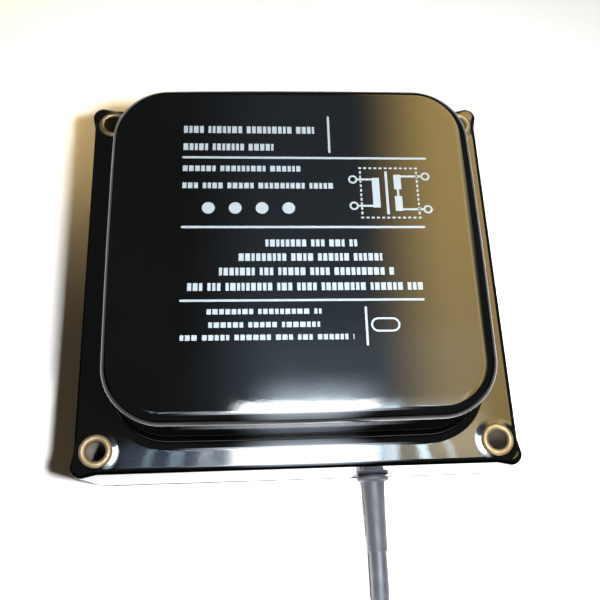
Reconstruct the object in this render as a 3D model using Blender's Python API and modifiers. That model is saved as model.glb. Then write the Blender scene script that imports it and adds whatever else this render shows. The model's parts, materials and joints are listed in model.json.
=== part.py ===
# Oil-burner ignition transformer in a deep-drawn steel can.
# Metres, +Z up, rim of the can on z = 0, front (the lead's side) towards -Y.
import math

import bpy
import bmesh
from mathutils import Matrix, Vector

MM = 0.001
GAP = 0.3 * MM

# Steel can
SHEET = 1.2 * MM
SKIRT_WIDTH = 120.0 * MM
SKIRT_DEPTH = 112.0 * MM
LEDGE_HEIGHT = 30.0 * MM
SKIRT_CORNER = 3.2 * MM
LEDGE_BEND = 1.5 * MM
CORNER_EAR = 0.8 * MM
EAR_LENGTH = 3.0 * MM
LEDGE_SIDE = 10.0 * MM
LEDGE_FRONT = 8.2 * MM
DOME_HEIGHT = 23.0 * MM
DOME_CORNER = 15.0 * MM
DOME_EDGE = 3.0 * MM
DOME_BOW = 0.5 * MM
DOME_FOOT = 3.0 * MM

# Eyelets
EYELET_MARGIN = 6.0 * MM
EYELET_BORE = 5.3 * MM
EYELET_WALL = 0.7 * MM
EYELET_HEAD = 8.8 * MM
EYELET_ROLL = 0.9 * MM

# Base board and compound
BOARD_HEIGHT = 9.0 * MM
BOARD_THICK = 2.0 * MM
ROOF_COVER = 1.5 * MM

# Core and windings
CORE_END_ROOM = 4.8 * MM
CORE_SHARE = 0.49
YOKE_SHARE = 0.33
BOBBIN_WALL = 1.0 * MM
FLANGE_THICK = 1.0 * MM
FLANGE_OVER = 0.5 * MM
PRIMARY_LENGTH = 17.0 * MM
SHUNT_THICK = 3.4 * MM
SHUNT_AIR = 0.7 * MM
BOLT_DIAMETER = 4.0 * MM
HEX_FLATS = 7.0 * MM
BOLT_HEAD = 2.8 * MM
NUT_HEIGHT = 3.2 * MM
BOLT_TAIL = 0.8 * MM

# High-voltage outlets
HV_SPREAD = 26.0 * MM
HV_SHARE = 0.6875
BUSHING_TUBE = 12.0 * MM
BUSHING_COLLAR = 16.0 * MM
BUSHING_COLLAR_THICK = 2.2 * MM
BUSHING_BORE = 8.0 * MM
BUSHING_RIM = 1.5 * MM
BUSHING_TOP = 15.0 * MM
STUD_DIAMETER = 3.0 * MM
STUD_TIP = 4.4 * MM
STUD_TAIL = 2.5 * MM
LINK_DIAMETER = 1.8 * MM
LINK_EASE = 2.0 * MM

# Supply connection
TERMINAL_X = 8.0 * MM
TERMINAL_NEAR = 15.5 * MM
TERMINAL_PITCH = 11.0 * MM
TERMINAL_HEAD = 7.0 * MM
TERMINAL_HEAD_HEIGHT = 2.4 * MM
TERMINAL_TAIL = 5.0 * MM
TAG_THICK = 0.8 * MM
TAG_BARREL = 2.8 * MM
TAG_TONGUE = 2.0 * MM
TAG_BARREL_LENGTH = 5.0 * MM
WIRE_DIAMETER = 1.8 * MM
EARTH_HEIGHT = 4.6 * MM
EARTH_SETBACK = 26.0 * MM
EARTH_STUD_LENGTH = 9.0 * MM

# Lead
LEAD_X = 23.0 * MM
LEAD_HEIGHT = 5.3 * MM
LEAD_DIAMETER = 5.2 * MM
GROMMET_NECK = 6.8 * MM
GROMMET_TIP = 5.8 * MM
GROMMET_LIP = 9.4 * MM
GROMMET_LIP_THICK = 1.2 * MM
GROMMET_SLEEVE = 20.0 * MM
SHEATH_INSIDE = 8.0 * MM
CLAMP_STRIP = 1.0 * MM
CLAMP_WIDTH = 5.0 * MM
CLAMP_FOOT = 5.6 * MM
CLAMP_SCREW = 3.0 * MM
CLAMP_SCREW_HEAD = 5.0 * MM
LEAD_LEVEL = 5.5 * MM
LEAD_SLOPE = 14.0 * MM
COIL_OUTER_TURN = 32.0 * MM
COIL_PITCH = 5.3 * MM
COIL_TURNS = 2
COIL_CENTRE_Y = -135.0 * MM
END_WIRE_LENGTH = 20.0 * MM
END_WIRE_CURL = 0.25
FERRULE_LENGTH = 7.0 * MM
FERRULE_DIAMETER = 1.9 * MM

# Mesh fineness
CORNER_STEPS = 7
FILLET_STEPS = 4
BEND_STEPS = 3
HIDDEN_CORNER_STEPS = 4
HIDDEN_FILLET_STEPS = 2
ROUND = 20
SMALL_ROUND = 12

# Places worked out from the sizes
SKIRT_X = SKIRT_WIDTH / 2
SKIRT_Y = SKIRT_DEPTH / 2
DOME_X = SKIRT_X - LEDGE_SIDE
DOME_Y = SKIRT_Y - LEDGE_FRONT
DOME_TOP = LEDGE_HEIGHT + DOME_HEIGHT
EYELET_X = SKIRT_X - EYELET_MARGIN
EYELET_Y = SKIRT_Y - EYELET_MARGIN
EYELET_OUTER = EYELET_BORE + 2 * EYELET_WALL
BOARD_TOP = BOARD_HEIGHT + BOARD_THICK
INNER_X = SKIRT_X - SHEET - GAP
INNER_Y = SKIRT_Y - SHEET - GAP
COMPOUND_BOTTOM = BOARD_TOP + GAP
COMPOUND_TOP = DOME_TOP - SHEET - GAP

HV_Y = HV_SHARE * SKIRT_Y
HV_TOP = BOARD_TOP + BUSHING_TOP
COIL_LOW = COMPOUND_BOTTOM + GAP
COIL_HIGH = COMPOUND_TOP - ROOF_COVER - GAP
CORE_Z = (COIL_LOW + COIL_HIGH) / 2
CORE_HALF_X = DOME_X - SHEET - GAP - CORE_END_ROOM
CORE_HALF_Y = CORE_SHARE * SKIRT_Y
YOKE_WIDTH = YOKE_SHARE * CORE_HALF_Y
LIMB_HALF = YOKE_WIDTH
BOLT_INSET = YOKE_WIDTH / 2
WINDOW_X = CORE_HALF_X - YOKE_WIDTH
WINDOW_Y = CORE_HALF_Y - YOKE_WIDTH
FLANGE_HALF_Y = WINDOW_Y - GAP
FLANGE_HALF_Z = (COIL_HIGH - COIL_LOW) / 2
COIL_STEP = FLANGE_HALF_Y - LIMB_HALF
WINDING_BUILD = COIL_STEP - 2 * GAP - BOBBIN_WALL - FLANGE_OVER
STACK_HALF = FLANGE_HALF_Z - COIL_STEP
PRIMARY_HALF = PRIMARY_LENGTH / 2
SHUNT_X = PRIMARY_HALF + GAP + SHUNT_THICK / 2
SECONDARY_NEAR = SHUNT_X + SHUNT_THICK / 2 + GAP
SECONDARY_FAR = WINDOW_X - GAP
SECONDARY_X = (SECONDARY_NEAR + SECONDARY_FAR) / 2
SECONDARY_LENGTH = SECONDARY_FAR - SECONDARY_NEAR
WINDING_TOP = CORE_Z + FLANGE_HALF_Z - FLANGE_OVER
LINK_Z = (CORE_Z + STACK_HALF + WINDING_TOP) / 2

TERMINAL_Y = (-SKIRT_Y + TERMINAL_NEAR, -SKIRT_Y + TERMINAL_NEAR + TERMINAL_PITCH)
TERMINAL_TOP = BOARD_TOP + TERMINAL_TAIL
TAG_HEIGHT = BOARD_HEIGHT - GAP - TAG_THICK / 2
WALL_FRONT = -SKIRT_Y
GROMMET_OUT = WALL_FRONT - GAP - GROMMET_LIP_THICK
GROMMET_IN = WALL_FRONT + SHEET + GAP + GROMMET_LIP_THICK
SHEATH_END = GROMMET_IN + GAP + SHEATH_INSIDE
SLEEVE_END = GROMMET_OUT - GROMMET_SLEEVE
COIL_X = LEAD_X - COIL_OUTER_TURN
LEAD_RADIUS = LEAD_DIAMETER / 2

FRONT = Vector((0, -1, 0))


def clear_scene():
    for item in list(bpy.data.objects):
        bpy.data.objects.remove(item, do_unlink=True)


def new_collection(name):
    made = bpy.data.collections.new(name)
    bpy.context.scene.collection.children.link(made)
    return made


def make_material(name, colour, roughness, metallic=0.0):
    made = bpy.data.materials.new(name)
    made.use_nodes = True
    shader = made.node_tree.nodes["Principled BSDF"]
    shader.inputs["Base Color"].default_value = (*colour, 1.0)
    shader.inputs["Roughness"].default_value = roughness
    shader.inputs["Metallic"].default_value = metallic
    made.diffuse_color = (*colour, 1.0)
    return made


clear_scene()
PARTS = new_collection("ignition_transformer")
CUTTERS = new_collection("cutters")

ENAMEL = make_material("black_enamel", (0.006, 0.006, 0.007), 0.08)
BRASS = make_material("eyelet_brass", (0.72, 0.47, 0.17), 0.25, 1.0)
CORE_STEEL = make_material("core_steel", (0.33, 0.33, 0.35), 0.45, 1.0)
FASTENER = make_material("zinc_steel", (0.62, 0.62, 0.60), 0.3, 1.0)
BOBBIN = make_material("bobbin_plastic", (0.75, 0.72, 0.62), 0.5)
COPPER = make_material("enamelled_copper", (0.50, 0.19, 0.06), 0.35, 0.6)
COMPOUND = make_material("potting_compound", (0.02, 0.018, 0.015), 0.5)
BOARD = make_material("base_board", (0.30, 0.15, 0.06), 0.45)
PORCELAIN = make_material("white_porcelain", (0.82, 0.80, 0.74), 0.15)
STUD_BRASS = make_material("stud_brass", (0.75, 0.55, 0.25), 0.3, 1.0)
RUBBER = make_material("grommet_rubber", (0.012, 0.012, 0.012), 0.55)
LEAD_PVC = make_material("lead_pvc", (0.014, 0.014, 0.015), 0.4)
TIN = make_material("tinned_copper", (0.70, 0.69, 0.66), 0.3, 1.0)
RED_WIRE = make_material("high_voltage_wire", (0.45, 0.04, 0.03), 0.4)
BROWN_WIRE = make_material("brown_wire", (0.16, 0.06, 0.02), 0.4)
BLUE_WIRE = make_material("blue_wire", (0.03, 0.12, 0.50), 0.4)
GREEN_WIRE = make_material("green_yellow_wire", (0.12, 0.40, 0.06), 0.4)


def add_mesh_object(name, bm, material, group, smooth=True):
    mesh = bpy.data.meshes.new(name)
    bm.to_mesh(mesh)
    bm.free()
    made = bpy.data.objects.new(name, mesh)
    group.objects.link(made)
    if material:
        mesh.materials.append(material)
    if smooth:
        mesh.shade_smooth()
        mesh.set_sharp_from_angle(angle=math.radians(35))
    return made


def as_cutter(item):
    item.hide_render = True
    item.display_type = "WIRE"
    return item


def cut(target, cutter, operation="DIFFERENCE"):
    step = target.modifiers.new("cut_" + cutter.name, "BOOLEAN")
    step.operation = operation
    step.object = cutter
    step.solver = "EXACT"


def box(name, size, centre, material=None, group=None):
    bm = bmesh.new()
    bmesh.ops.create_cube(bm, size=1.0, matrix=Matrix.Diagonal((*size, 1.0)))
    made = add_mesh_object(name, bm, material, group or PARTS, smooth=False)
    made.location = centre
    return made


def cylinder(name, radius, low, high, place, material=None, group=None, sides=ROUND):
    bm = bmesh.new()
    bmesh.ops.create_cone(bm, cap_ends=True, segments=sides, radius1=radius, radius2=radius,
                          depth=high - low)
    made = add_mesh_object(name, bm, material, group or PARTS)
    made.location = (place[0], place[1], (low + high) / 2)
    return made


def turned(name, profile, place, material, closed=False, sides=ROUND, direction=None):
    """Turns (radius, height) points, listed down the outer side, round the vertical."""
    bm = bmesh.new()
    points = [bm.verts.new((radius, 0, height)) for radius, height in profile]
    for first, second in zip(points, points[1:]):
        bm.edges.new((first, second))
    if closed:
        bm.edges.new((points[-1], points[0]))
    made = add_mesh_object(name, bm, material, PARTS)
    step = made.modifiers.new("turn", "SCREW")
    step.axis = "Z"
    step.angle = math.tau
    step.steps = sides
    step.render_steps = sides
    step.use_merge_vertices = True
    step.merge_threshold = 0.00001
    step.use_smooth_shade = True
    made.location = place
    if direction is not None:
        made.rotation_euler = direction.to_track_quat("Z", "Y").to_euler()
    return made


def curve_to_mesh(curve_object, material, group):
    """Replaces a curve object by its welded mesh, so that it can be cut or can cut."""
    bpy.context.view_layer.update()
    graph = bpy.context.evaluated_depsgraph_get()
    mesh = bpy.data.meshes.new_from_object(curve_object.evaluated_get(graph))
    bm = bmesh.new()
    bm.from_mesh(mesh)
    bmesh.ops.remove_doubles(bm, verts=bm.verts, dist=0.000001)
    bmesh.ops.recalc_face_normals(bm, faces=bm.faces)
    bm.to_mesh(mesh)
    bm.free()
    name = curve_object.name
    place = curve_object.matrix_world.copy()
    bpy.data.objects.remove(curve_object, do_unlink=True)
    mesh.materials.clear()
    if material:
        mesh.materials.append(material)
    made = bpy.data.objects.new(name, mesh)
    made.matrix_world = place
    group.objects.link(made)
    mesh.shade_smooth()
    mesh.set_sharp_from_angle(angle=math.radians(35))
    return made


def flat_outline(name, loops, thickness, matrix, material=None, group=None):
    """Extrudes closed flat outlines, the later ones being holes, about their own plane."""
    data = bpy.data.curves.new(name, "CURVE")
    data.dimensions = "2D"
    data.fill_mode = "BOTH"
    data.extrude = thickness / 2
    for loop in loops:
        spline = data.splines.new("POLY")
        spline.points.add(len(loop) - 1)
        for point, (x, y) in zip(spline.points, loop):
            point.co = (x, y, 0, 1)
        spline.use_cyclic_u = True
    made = bpy.data.objects.new(name, data)
    made.matrix_world = matrix
    CUTTERS.objects.link(made)
    return curve_to_mesh(made, material, group or PARTS)


def smooth_route(points, spacing):
    """Reads evenly spaced points from a Catmull-Rom curve through the route's own points."""
    route = [Vector(point) for point in points]
    ends = [route[0] * 2 - route[1]] + route + [route[-1] * 2 - route[-2]]
    fine = []
    for a, b, c, d in zip(ends, ends[1:], ends[2:], ends[3:]):
        for step in range(24):
            t = step / 24
            fine.append(0.5 * (2 * b + (c - a) * t + (2 * a - 5 * b + 4 * c - d) * t ** 2
                               + (3 * b - a - 3 * c + d) * t ** 3))
    fine.append(route[-1])
    total = sum((q - p).length for p, q in zip(fine, fine[1:]))
    count = max(2, round(total / spacing))
    read = [fine[0]]
    walked = 0.0
    for p, q in zip(fine, fine[1:]):
        walked += (q - p).length
        if walked >= len(read) * total / count and len(read) < count:
            read.append(q)
    read.append(fine[-1])
    return read


def tube(name, points, diameter, material=None, group=None, resolution=2, spacing=None):
    data = bpy.data.curves.new(name, "CURVE")
    data.dimensions = "3D"
    data.bevel_depth = diameter / 2
    data.bevel_resolution = resolution
    data.use_fill_caps = True
    read = smooth_route(points, spacing or 2.2 * diameter)
    spline = data.splines.new("POLY")
    spline.points.add(len(read) - 1)
    for point, place in zip(spline.points, read):
        point.co = (*place, 1)
    if material:
        data.materials.append(material)
    made = bpy.data.objects.new(name, data)
    (group or PARTS).objects.link(made)
    return made


def tube_cutter(name, points, diameter, spacing):
    return curve_to_mesh(tube(name, points, diameter, None, CUTTERS, 2, spacing), None, CUTTERS)


# Outlines and shells
def rounded_rectangle(half_x, half_y, corner, steps=4):
    loop = []
    for quarter, (sx, sy) in enumerate(((1, 1), (-1, 1), (-1, -1), (1, -1))):
        for step in range(steps + 1):
            angle = (quarter + step / steps) * math.pi / 2
            loop.append((sx * (half_x - corner) + corner * math.cos(angle),
                         sy * (half_y - corner) + corner * math.sin(angle)))
    return loop


def can_outline(half_x, half_y, corner, bow, ear, steps):
    """Rounded rectangle with bowed sides and corners that stand out a little."""
    shifted = rounded_rectangle(half_x + ear, half_y + ear, corner, steps)
    per_corner = steps + 1
    reach_x = half_x - corner - EAR_LENGTH
    reach_y = half_y - corner - EAR_LENGTH
    loop = []
    for quarter in range(4):
        loop += shifted[quarter * per_corner:(quarter + 1) * per_corner]
        for share in (1, 0, -1):
            side = ((share * reach_x, half_y), (-half_x, share * reach_y),
                    (-share * reach_x, -half_y), (half_x, -share * reach_y))[quarter]
            loop.append(side)
    return [(x - bow * (x / half_x) * (y / half_y) ** 2,
             y - bow * (y / half_y) * (x / half_x) ** 2) for x, y in loop]


def can_rings(inset, bottom, fillet_steps):
    """Rings of the can's surface, moved inwards by inset, from the dome's top to the bottom."""
    rings = []
    edge = max(DOME_EDGE - inset, 0.4 * MM)
    for step in range(fillet_steps + 1):
        angle = (1 - step / fillet_steps) * math.pi / 2
        out = edge * (math.cos(angle) - 1) - inset
        rings.append((DOME_X + out, DOME_Y + out, DOME_CORNER + out,
                      DOME_TOP - inset - edge * (1 - math.sin(angle)), DOME_BOW, 0.0))
    reach = DOME_FOOT + inset
    for step in range(BEND_STEPS + 1):
        angle = step / BEND_STEPS * math.pi / 2
        out = DOME_FOOT - reach * math.cos(angle)
        fade = 1 - step / BEND_STEPS / 2
        rings.append((DOME_X + out, DOME_Y + out, DOME_CORNER + out,
                      LEDGE_HEIGHT + DOME_FOOT - reach * math.sin(angle), DOME_BOW * fade, 0.0))
    bend = LEDGE_BEND - inset
    for step in range(BEND_STEPS + 1 if bend > 0 else 1):
        angle = (1 - step / BEND_STEPS) * math.pi / 2 if bend > 0 else 0.0
        out = bend * (math.cos(angle) - 1) - inset if bend > 0 else -inset
        lift = bend * (1 - math.sin(angle)) if bend > 0 else 0.0
        rings.append((SKIRT_X + out, SKIRT_Y + out, max(SKIRT_CORNER + out, 0.5 * MM),
                      LEDGE_HEIGHT - inset - lift, 0.0, CORNER_EAR))
    rings.append((SKIRT_X - inset, SKIRT_Y - inset, SKIRT_CORNER - inset, bottom, 0.0, 0.0))
    return rings


def loft(name, rings, steps, material, group, closed_bottom):
    bm = bmesh.new()
    rows = []
    for half_x, half_y, corner, height, bow, ear in rings:
        rows.append([bm.verts.new((x, y, height))
                     for x, y in can_outline(half_x, half_y, corner, bow, ear, steps)])
    for inner, outer in zip(rows, rows[1:]):
        count = len(inner)
        for index in range(count):
            after = (index + 1) % count
            bm.faces.new((inner[index], outer[index], outer[after], inner[after]))
    bm.faces.new(rows[0])
    if closed_bottom:
        bm.faces.new(list(reversed(rows[-1])))
    return add_mesh_object(name, bm, material, group)


def corners():
    for side, sx in (("left", -1), ("right", 1)):
        for end, sy in (("front", -1), ("rear", 1)):
            yield end + "_" + side, sx, sy


# Can
def build_housing():
    housing = loft("housing", can_rings(0.0, 0.0, FILLET_STEPS), CORNER_STEPS, ENAMEL, PARTS,
                   closed_bottom=False)
    wall = housing.modifiers.new("sheet", "SOLIDIFY")
    wall.thickness = SHEET
    wall.offset = -1
    wall.use_even_offset = True
    for place, sx, sy in corners():
        hole = cylinder("eyelet_hole_" + place, EYELET_OUTER / 2 + GAP, LEDGE_HEIGHT - 4 * SHEET,
                        LEDGE_HEIGHT + SHEET, (sx * EYELET_X, sy * EYELET_Y), None, CUTTERS)
        cut(housing, as_cutter(hole))
    notch_half = GROMMET_NECK / 2 + GAP
    arch = [(-notch_half, -SHEET), (notch_half, -SHEET)]
    arch += [(notch_half * math.cos(angle), LEAD_HEIGHT + notch_half * math.sin(angle))
             for angle in [step * math.pi / 8 for step in range(9)]]
    stand = Matrix.Translation((LEAD_X, WALL_FRONT, 0)) @ Matrix.Rotation(math.pi / 2, 4, "X")
    notch = flat_outline("lead_notch", [arch], 4 * SHEET, stand, None, CUTTERS)
    cut(housing, as_cutter(notch))


def build_eyelets():
    bore = EYELET_BORE / 2
    outer = EYELET_OUTER / 2
    head = EYELET_HEAD / 2
    seat = LEDGE_HEIGHT + GAP
    top = seat + EYELET_ROLL
    foot = BOARD_HEIGHT - GAP
    low = foot - EYELET_ROLL
    profile = [(bore, top - 0.4 * EYELET_ROLL), (bore + 0.4 * EYELET_WALL, top),
               (head - 0.9 * EYELET_WALL, top), (head - 0.2 * EYELET_WALL, top - 0.25 * EYELET_ROLL),
               (head, top - 0.6 * EYELET_ROLL), (head - 0.1 * EYELET_WALL, seat), (outer, seat),
               (outer, foot), (head - 0.3 * EYELET_WALL, foot), (head - 0.5 * EYELET_WALL, low),
               (bore, low)]
    for place, sx, sy in corners():
        turned("eyelet_" + place, profile, (sx * EYELET_X, sy * EYELET_Y, 0), BRASS, closed=True)


# Magnetic core and windings
def side_matrix(x):
    """Stands an outline drawn in Y and Z across the X axis."""
    turn = Matrix(((0, 0, 1, 0), (1, 0, 0, 0), (0, 1, 0, 0), (0, 0, 0, 1)))
    return Matrix.Translation((x, 0, CORE_Z)) @ turn


def core_bolt_places():
    x = CORE_HALF_X - BOLT_INSET
    y = CORE_HALF_Y - BOLT_INSET
    for place, sx, sy in corners():
        yield place, (sx * x, sy * y)


def round_loop(radius, centre, steps=SMALL_ROUND):
    return [(centre[0] + radius * math.cos(step * math.tau / steps),
             centre[1] + radius * math.sin(step * math.tau / steps)) for step in range(steps)]


def build_core():
    frame = rounded_rectangle(CORE_HALF_X, CORE_HALF_Y, 0.6 * MM, 1)
    middle = (LIMB_HALF + WINDOW_Y) / 2
    half = (WINDOW_Y - LIMB_HALF) / 2
    windows = []
    for sy in (-1, 1):
        window = [(x, sy * middle + y) for x, y in rounded_rectangle(WINDOW_X, half, 0.2 * MM, 1)]
        windows.append(window)
    holes = [round_loop(BOLT_DIAMETER / 2 + GAP, place) for name, place in core_bolt_places()]
    flat_outline("core_stack", [frame] + windows + holes, 2 * STACK_HALF,
                 Matrix.Translation((0, 0, CORE_Z)), CORE_STEEL)
    head_low = CORE_Z + STACK_HALF + GAP
    nut_high = CORE_Z - STACK_HALF - GAP
    tail = nut_high - NUT_HEIGHT - BOLT_TAIL
    hexagon = HEX_FLATS / math.sqrt(3)
    shank = BOLT_DIAMETER / 2
    for place, (x, y) in core_bolt_places():
        bolt = cylinder("core_bolt_" + place, hexagon, head_low, head_low + BOLT_HEAD, (x, y),
                        FASTENER, sides=6)
        stem = cylinder("bolt_stem_" + place, shank, tail, head_low + BOLT_HEAD / 2, (x, y),
                        FASTENER, CUTTERS, sides=SMALL_ROUND)
        cut(bolt, as_cutter(stem), "UNION")
        nut = cylinder("core_nut_" + place, hexagon, nut_high - NUT_HEIGHT, nut_high, (x, y),
                       FASTENER, sides=6)
        thread = cylinder("nut_hole_" + place, shank + GAP, nut_high - 2 * NUT_HEIGHT,
                          nut_high + NUT_HEIGHT, (x, y), None, CUTTERS, sides=SMALL_ROUND)
        cut(nut, as_cutter(thread))


def build_coil(prefix, x, length):
    tube_y = LIMB_HALF + GAP + BOBBIN_WALL
    tube_z = STACK_HALF + GAP + BOBBIN_WALL
    bore = rounded_rectangle(LIMB_HALF + GAP, STACK_HALF + GAP, 0.2 * MM, 1)
    flange = rounded_rectangle(FLANGE_HALF_Y, FLANGE_HALF_Z, 1.5 * MM, 2)
    bobbin = flat_outline(prefix + "_bobbin", [flange, bore], length, side_matrix(x), BOBBIN)
    spread = FLANGE_HALF_Z * 2
    outside = rounded_rectangle(FLANGE_HALF_Y + spread, FLANGE_HALF_Z + spread, 1.0 * MM, 1)
    neck = rounded_rectangle(tube_y, tube_z, 1.0 * MM, 2)
    between = length - 2 * FLANGE_THICK
    space = flat_outline(prefix + "_winding_space", [outside, neck], between, side_matrix(x),
                         None, CUTTERS)
    cut(bobbin, as_cutter(space))
    inside = rounded_rectangle(tube_y + GAP, tube_z + GAP, 1.3 * MM, 2)
    full = rounded_rectangle(tube_y + GAP + WINDING_BUILD, tube_z + GAP + WINDING_BUILD,
                             4.0 * MM, 4)
    flat_outline(prefix + "_winding", [full, inside], between - 2 * GAP, side_matrix(x), COPPER)


def build_shunts():
    depth = WINDOW_Y - LIMB_HALF - 2 * SHUNT_AIR
    middle = (WINDOW_Y + LIMB_HALF) / 2
    for place, sx, sy in corners():
        box("magnetic_shunt_" + place, (SHUNT_THICK, depth, 2 * STACK_HALF),
            (sx * SHUNT_X, sy * middle, CORE_Z), CORE_STEEL)


# Inner wires
def hv_route(sx):
    start = FLANGE_HALF_Y - FLANGE_OVER + GAP
    down = HV_TOP + STUD_TAIL + GAP
    return [(sx * SECONDARY_X, start, LINK_Z), (sx * SECONDARY_X, start + 2.5 * LINK_EASE, LINK_Z),
            (sx * HV_SPREAD, HV_Y - 2.2 * LINK_EASE, LINK_Z - 0.7 * LINK_EASE),
            (sx * HV_SPREAD, HV_Y - 0.2 * LINK_EASE, LINK_Z - 3.5 * LINK_EASE),
            (sx * HV_SPREAD, HV_Y, down)]


def primary_route(index):
    start = -(FLANGE_HALF_Y - FLANGE_OVER + GAP)
    x = (-1, 1)[index] * PRIMARY_HALF / 3
    y = TERMINAL_Y[index]
    over = -(CORE_HALF_Y + 2 * GAP + LINK_DIAMETER)
    drop = min(over, y)
    under = (CORE_Z - STACK_HALF + TERMINAL_TOP) / 2
    end = TERMINAL_TOP + GAP
    return [(x, start, LINK_Z), (x, start - 2 * LINK_EASE, LINK_Z + GAP),
            (x + 0.5 * LINK_EASE, drop + LINK_EASE, LINK_Z - 0.5 * LINK_EASE),
            (TERMINAL_X, drop, LINK_Z - 4 * LINK_EASE), (TERMINAL_X, drop, under),
            (TERMINAL_X, y, (under + end) / 2), (TERMINAL_X, y, end)]


def build_links():
    for side, sx in (("left", -1), ("right", 1)):
        tube("hv_link_" + side, hv_route(sx), LINK_DIAMETER, RED_WIRE)
    for index, name in enumerate(("brown", "blue")):
        tube("primary_link_" + name, primary_route(index), LINK_DIAMETER,
             (BROWN_WIRE, BLUE_WIRE)[index])


# Compound and board
def build_compound():
    rings = can_rings(SHEET + GAP, COMPOUND_BOTTOM, HIDDEN_FILLET_STEPS)
    compound = loft("potting_compound", rings, HIDDEN_CORNER_STEPS, COMPOUND, PARTS,
                    closed_bottom=True)
    below = COMPOUND_BOTTOM - BOARD_THICK
    cutters = []
    coil_top = COIL_HIGH + GAP
    cutters.append(box("coil_room", (2 * WINDOW_X, 2 * WINDOW_Y, coil_top - below),
                       (0, 0, (coil_top + below) / 2), None, CUTTERS))
    cutters.append(box("core_room", (2 * (CORE_HALF_X + GAP), 2 * (CORE_HALF_Y + GAP),
                                     2 * (STACK_HALF + GAP)), (0, 0, CORE_Z), None, CUTTERS))
    bolt_room = HEX_FLATS / math.sqrt(3) + GAP
    bolt_top = CORE_Z + STACK_HALF + BOLT_HEAD + 2 * GAP
    bolt_low = CORE_Z - STACK_HALF - NUT_HEIGHT - BOLT_TAIL - 2 * GAP
    for place, (x, y) in core_bolt_places():
        cutters.append(cylinder("bolt_room_" + place, bolt_room, bolt_low, bolt_top, (x, y), None,
                                CUTTERS, SMALL_ROUND))
    for place, sx, sy in corners():
        cutters.append(cylinder("rivet_room_" + place, EYELET_OUTER / 2 + GAP, below,
                                LEDGE_HEIGHT, (sx * EYELET_X, sy * EYELET_Y), None, CUTTERS,
                                SMALL_ROUND))
    wire_room = LINK_DIAMETER + 3 * GAP
    for side, sx in (("left", -1), ("right", 1)):
        cutters.append(cylinder("bushing_room_" + side, BUSHING_TUBE / 2 + GAP, below,
                                HV_TOP + GAP, (sx * HV_SPREAD, HV_Y), None, CUTTERS))
        cutters.append(cylinder("stud_room_" + side, STUD_DIAMETER / 2 + GAP, HV_TOP,
                                HV_TOP + STUD_TAIL + GAP, (sx * HV_SPREAD, HV_Y), None, CUTTERS,
                                SMALL_ROUND))
        route = hv_route(sx)
        route[0] = (route[0][0], WINDOW_Y - MM, route[0][2])
        route[-1] = (route[-1][0], route[-1][1], HV_TOP)
        cutters.append(tube_cutter("hv_wire_room_" + side, route, wire_room, 4 * MM))
    for index in range(2):
        cutters.append(cylinder("terminal_room_%d" % index, BOLT_DIAMETER / 2 + GAP, below,
                                TERMINAL_TOP + GAP, (TERMINAL_X, TERMINAL_Y[index]), None,
                                CUTTERS, SMALL_ROUND))
        route = primary_route(index)
        route[0] = (route[0][0], -WINDOW_Y + MM, route[0][2])
        route[-1] = (route[-1][0], route[-1][1], TERMINAL_TOP - MM)
        cutters.append(tube_cutter("primary_wire_room_%d" % index, route, wire_room, 4 * MM))
    for index, screw_x in enumerate(clamp_screw_places()):
        cutters.append(cylinder("clamp_screw_room_%d" % index, CLAMP_SCREW / 2 + GAP, below,
                                BOARD_TOP + 3 * MM, (screw_x, clamp_y()), None, CUTTERS,
                                SMALL_ROUND))
    for cutter in cutters:
        cut(compound, as_cutter(cutter))


def build_board():
    outline = rounded_rectangle(INNER_X, INNER_Y, SKIRT_CORNER, 2)
    holes = [round_loop(EYELET_OUTER / 2 + GAP, (sx * EYELET_X, sy * EYELET_Y))
             for place, sx, sy in corners()]
    holes += [round_loop(BUSHING_TUBE / 2 + GAP, (sx * HV_SPREAD, HV_Y)) for sx in (-1, 1)]
    holes += [round_loop(BOLT_DIAMETER / 2 + GAP, (TERMINAL_X, y)) for y in TERMINAL_Y]
    holes += [round_loop(CLAMP_SCREW / 2 + GAP, (x, clamp_y())) for x in clamp_screw_places()]
    board = flat_outline("base_board", [outline] + holes, BOARD_THICK,
                         Matrix.Translation((0, 0, (BOARD_HEIGHT + BOARD_TOP) / 2)), BOARD)
    lip_room = 2 * (GROMMET_IN + GAP - WALL_FRONT)
    recess = box("grommet_recess", (GROMMET_LIP + 2 * GAP, lip_room, 4 * BOARD_THICK),
                 (LEAD_X, WALL_FRONT, BOARD_HEIGHT), None, CUTTERS)
    cut(board, as_cutter(recess))


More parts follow.
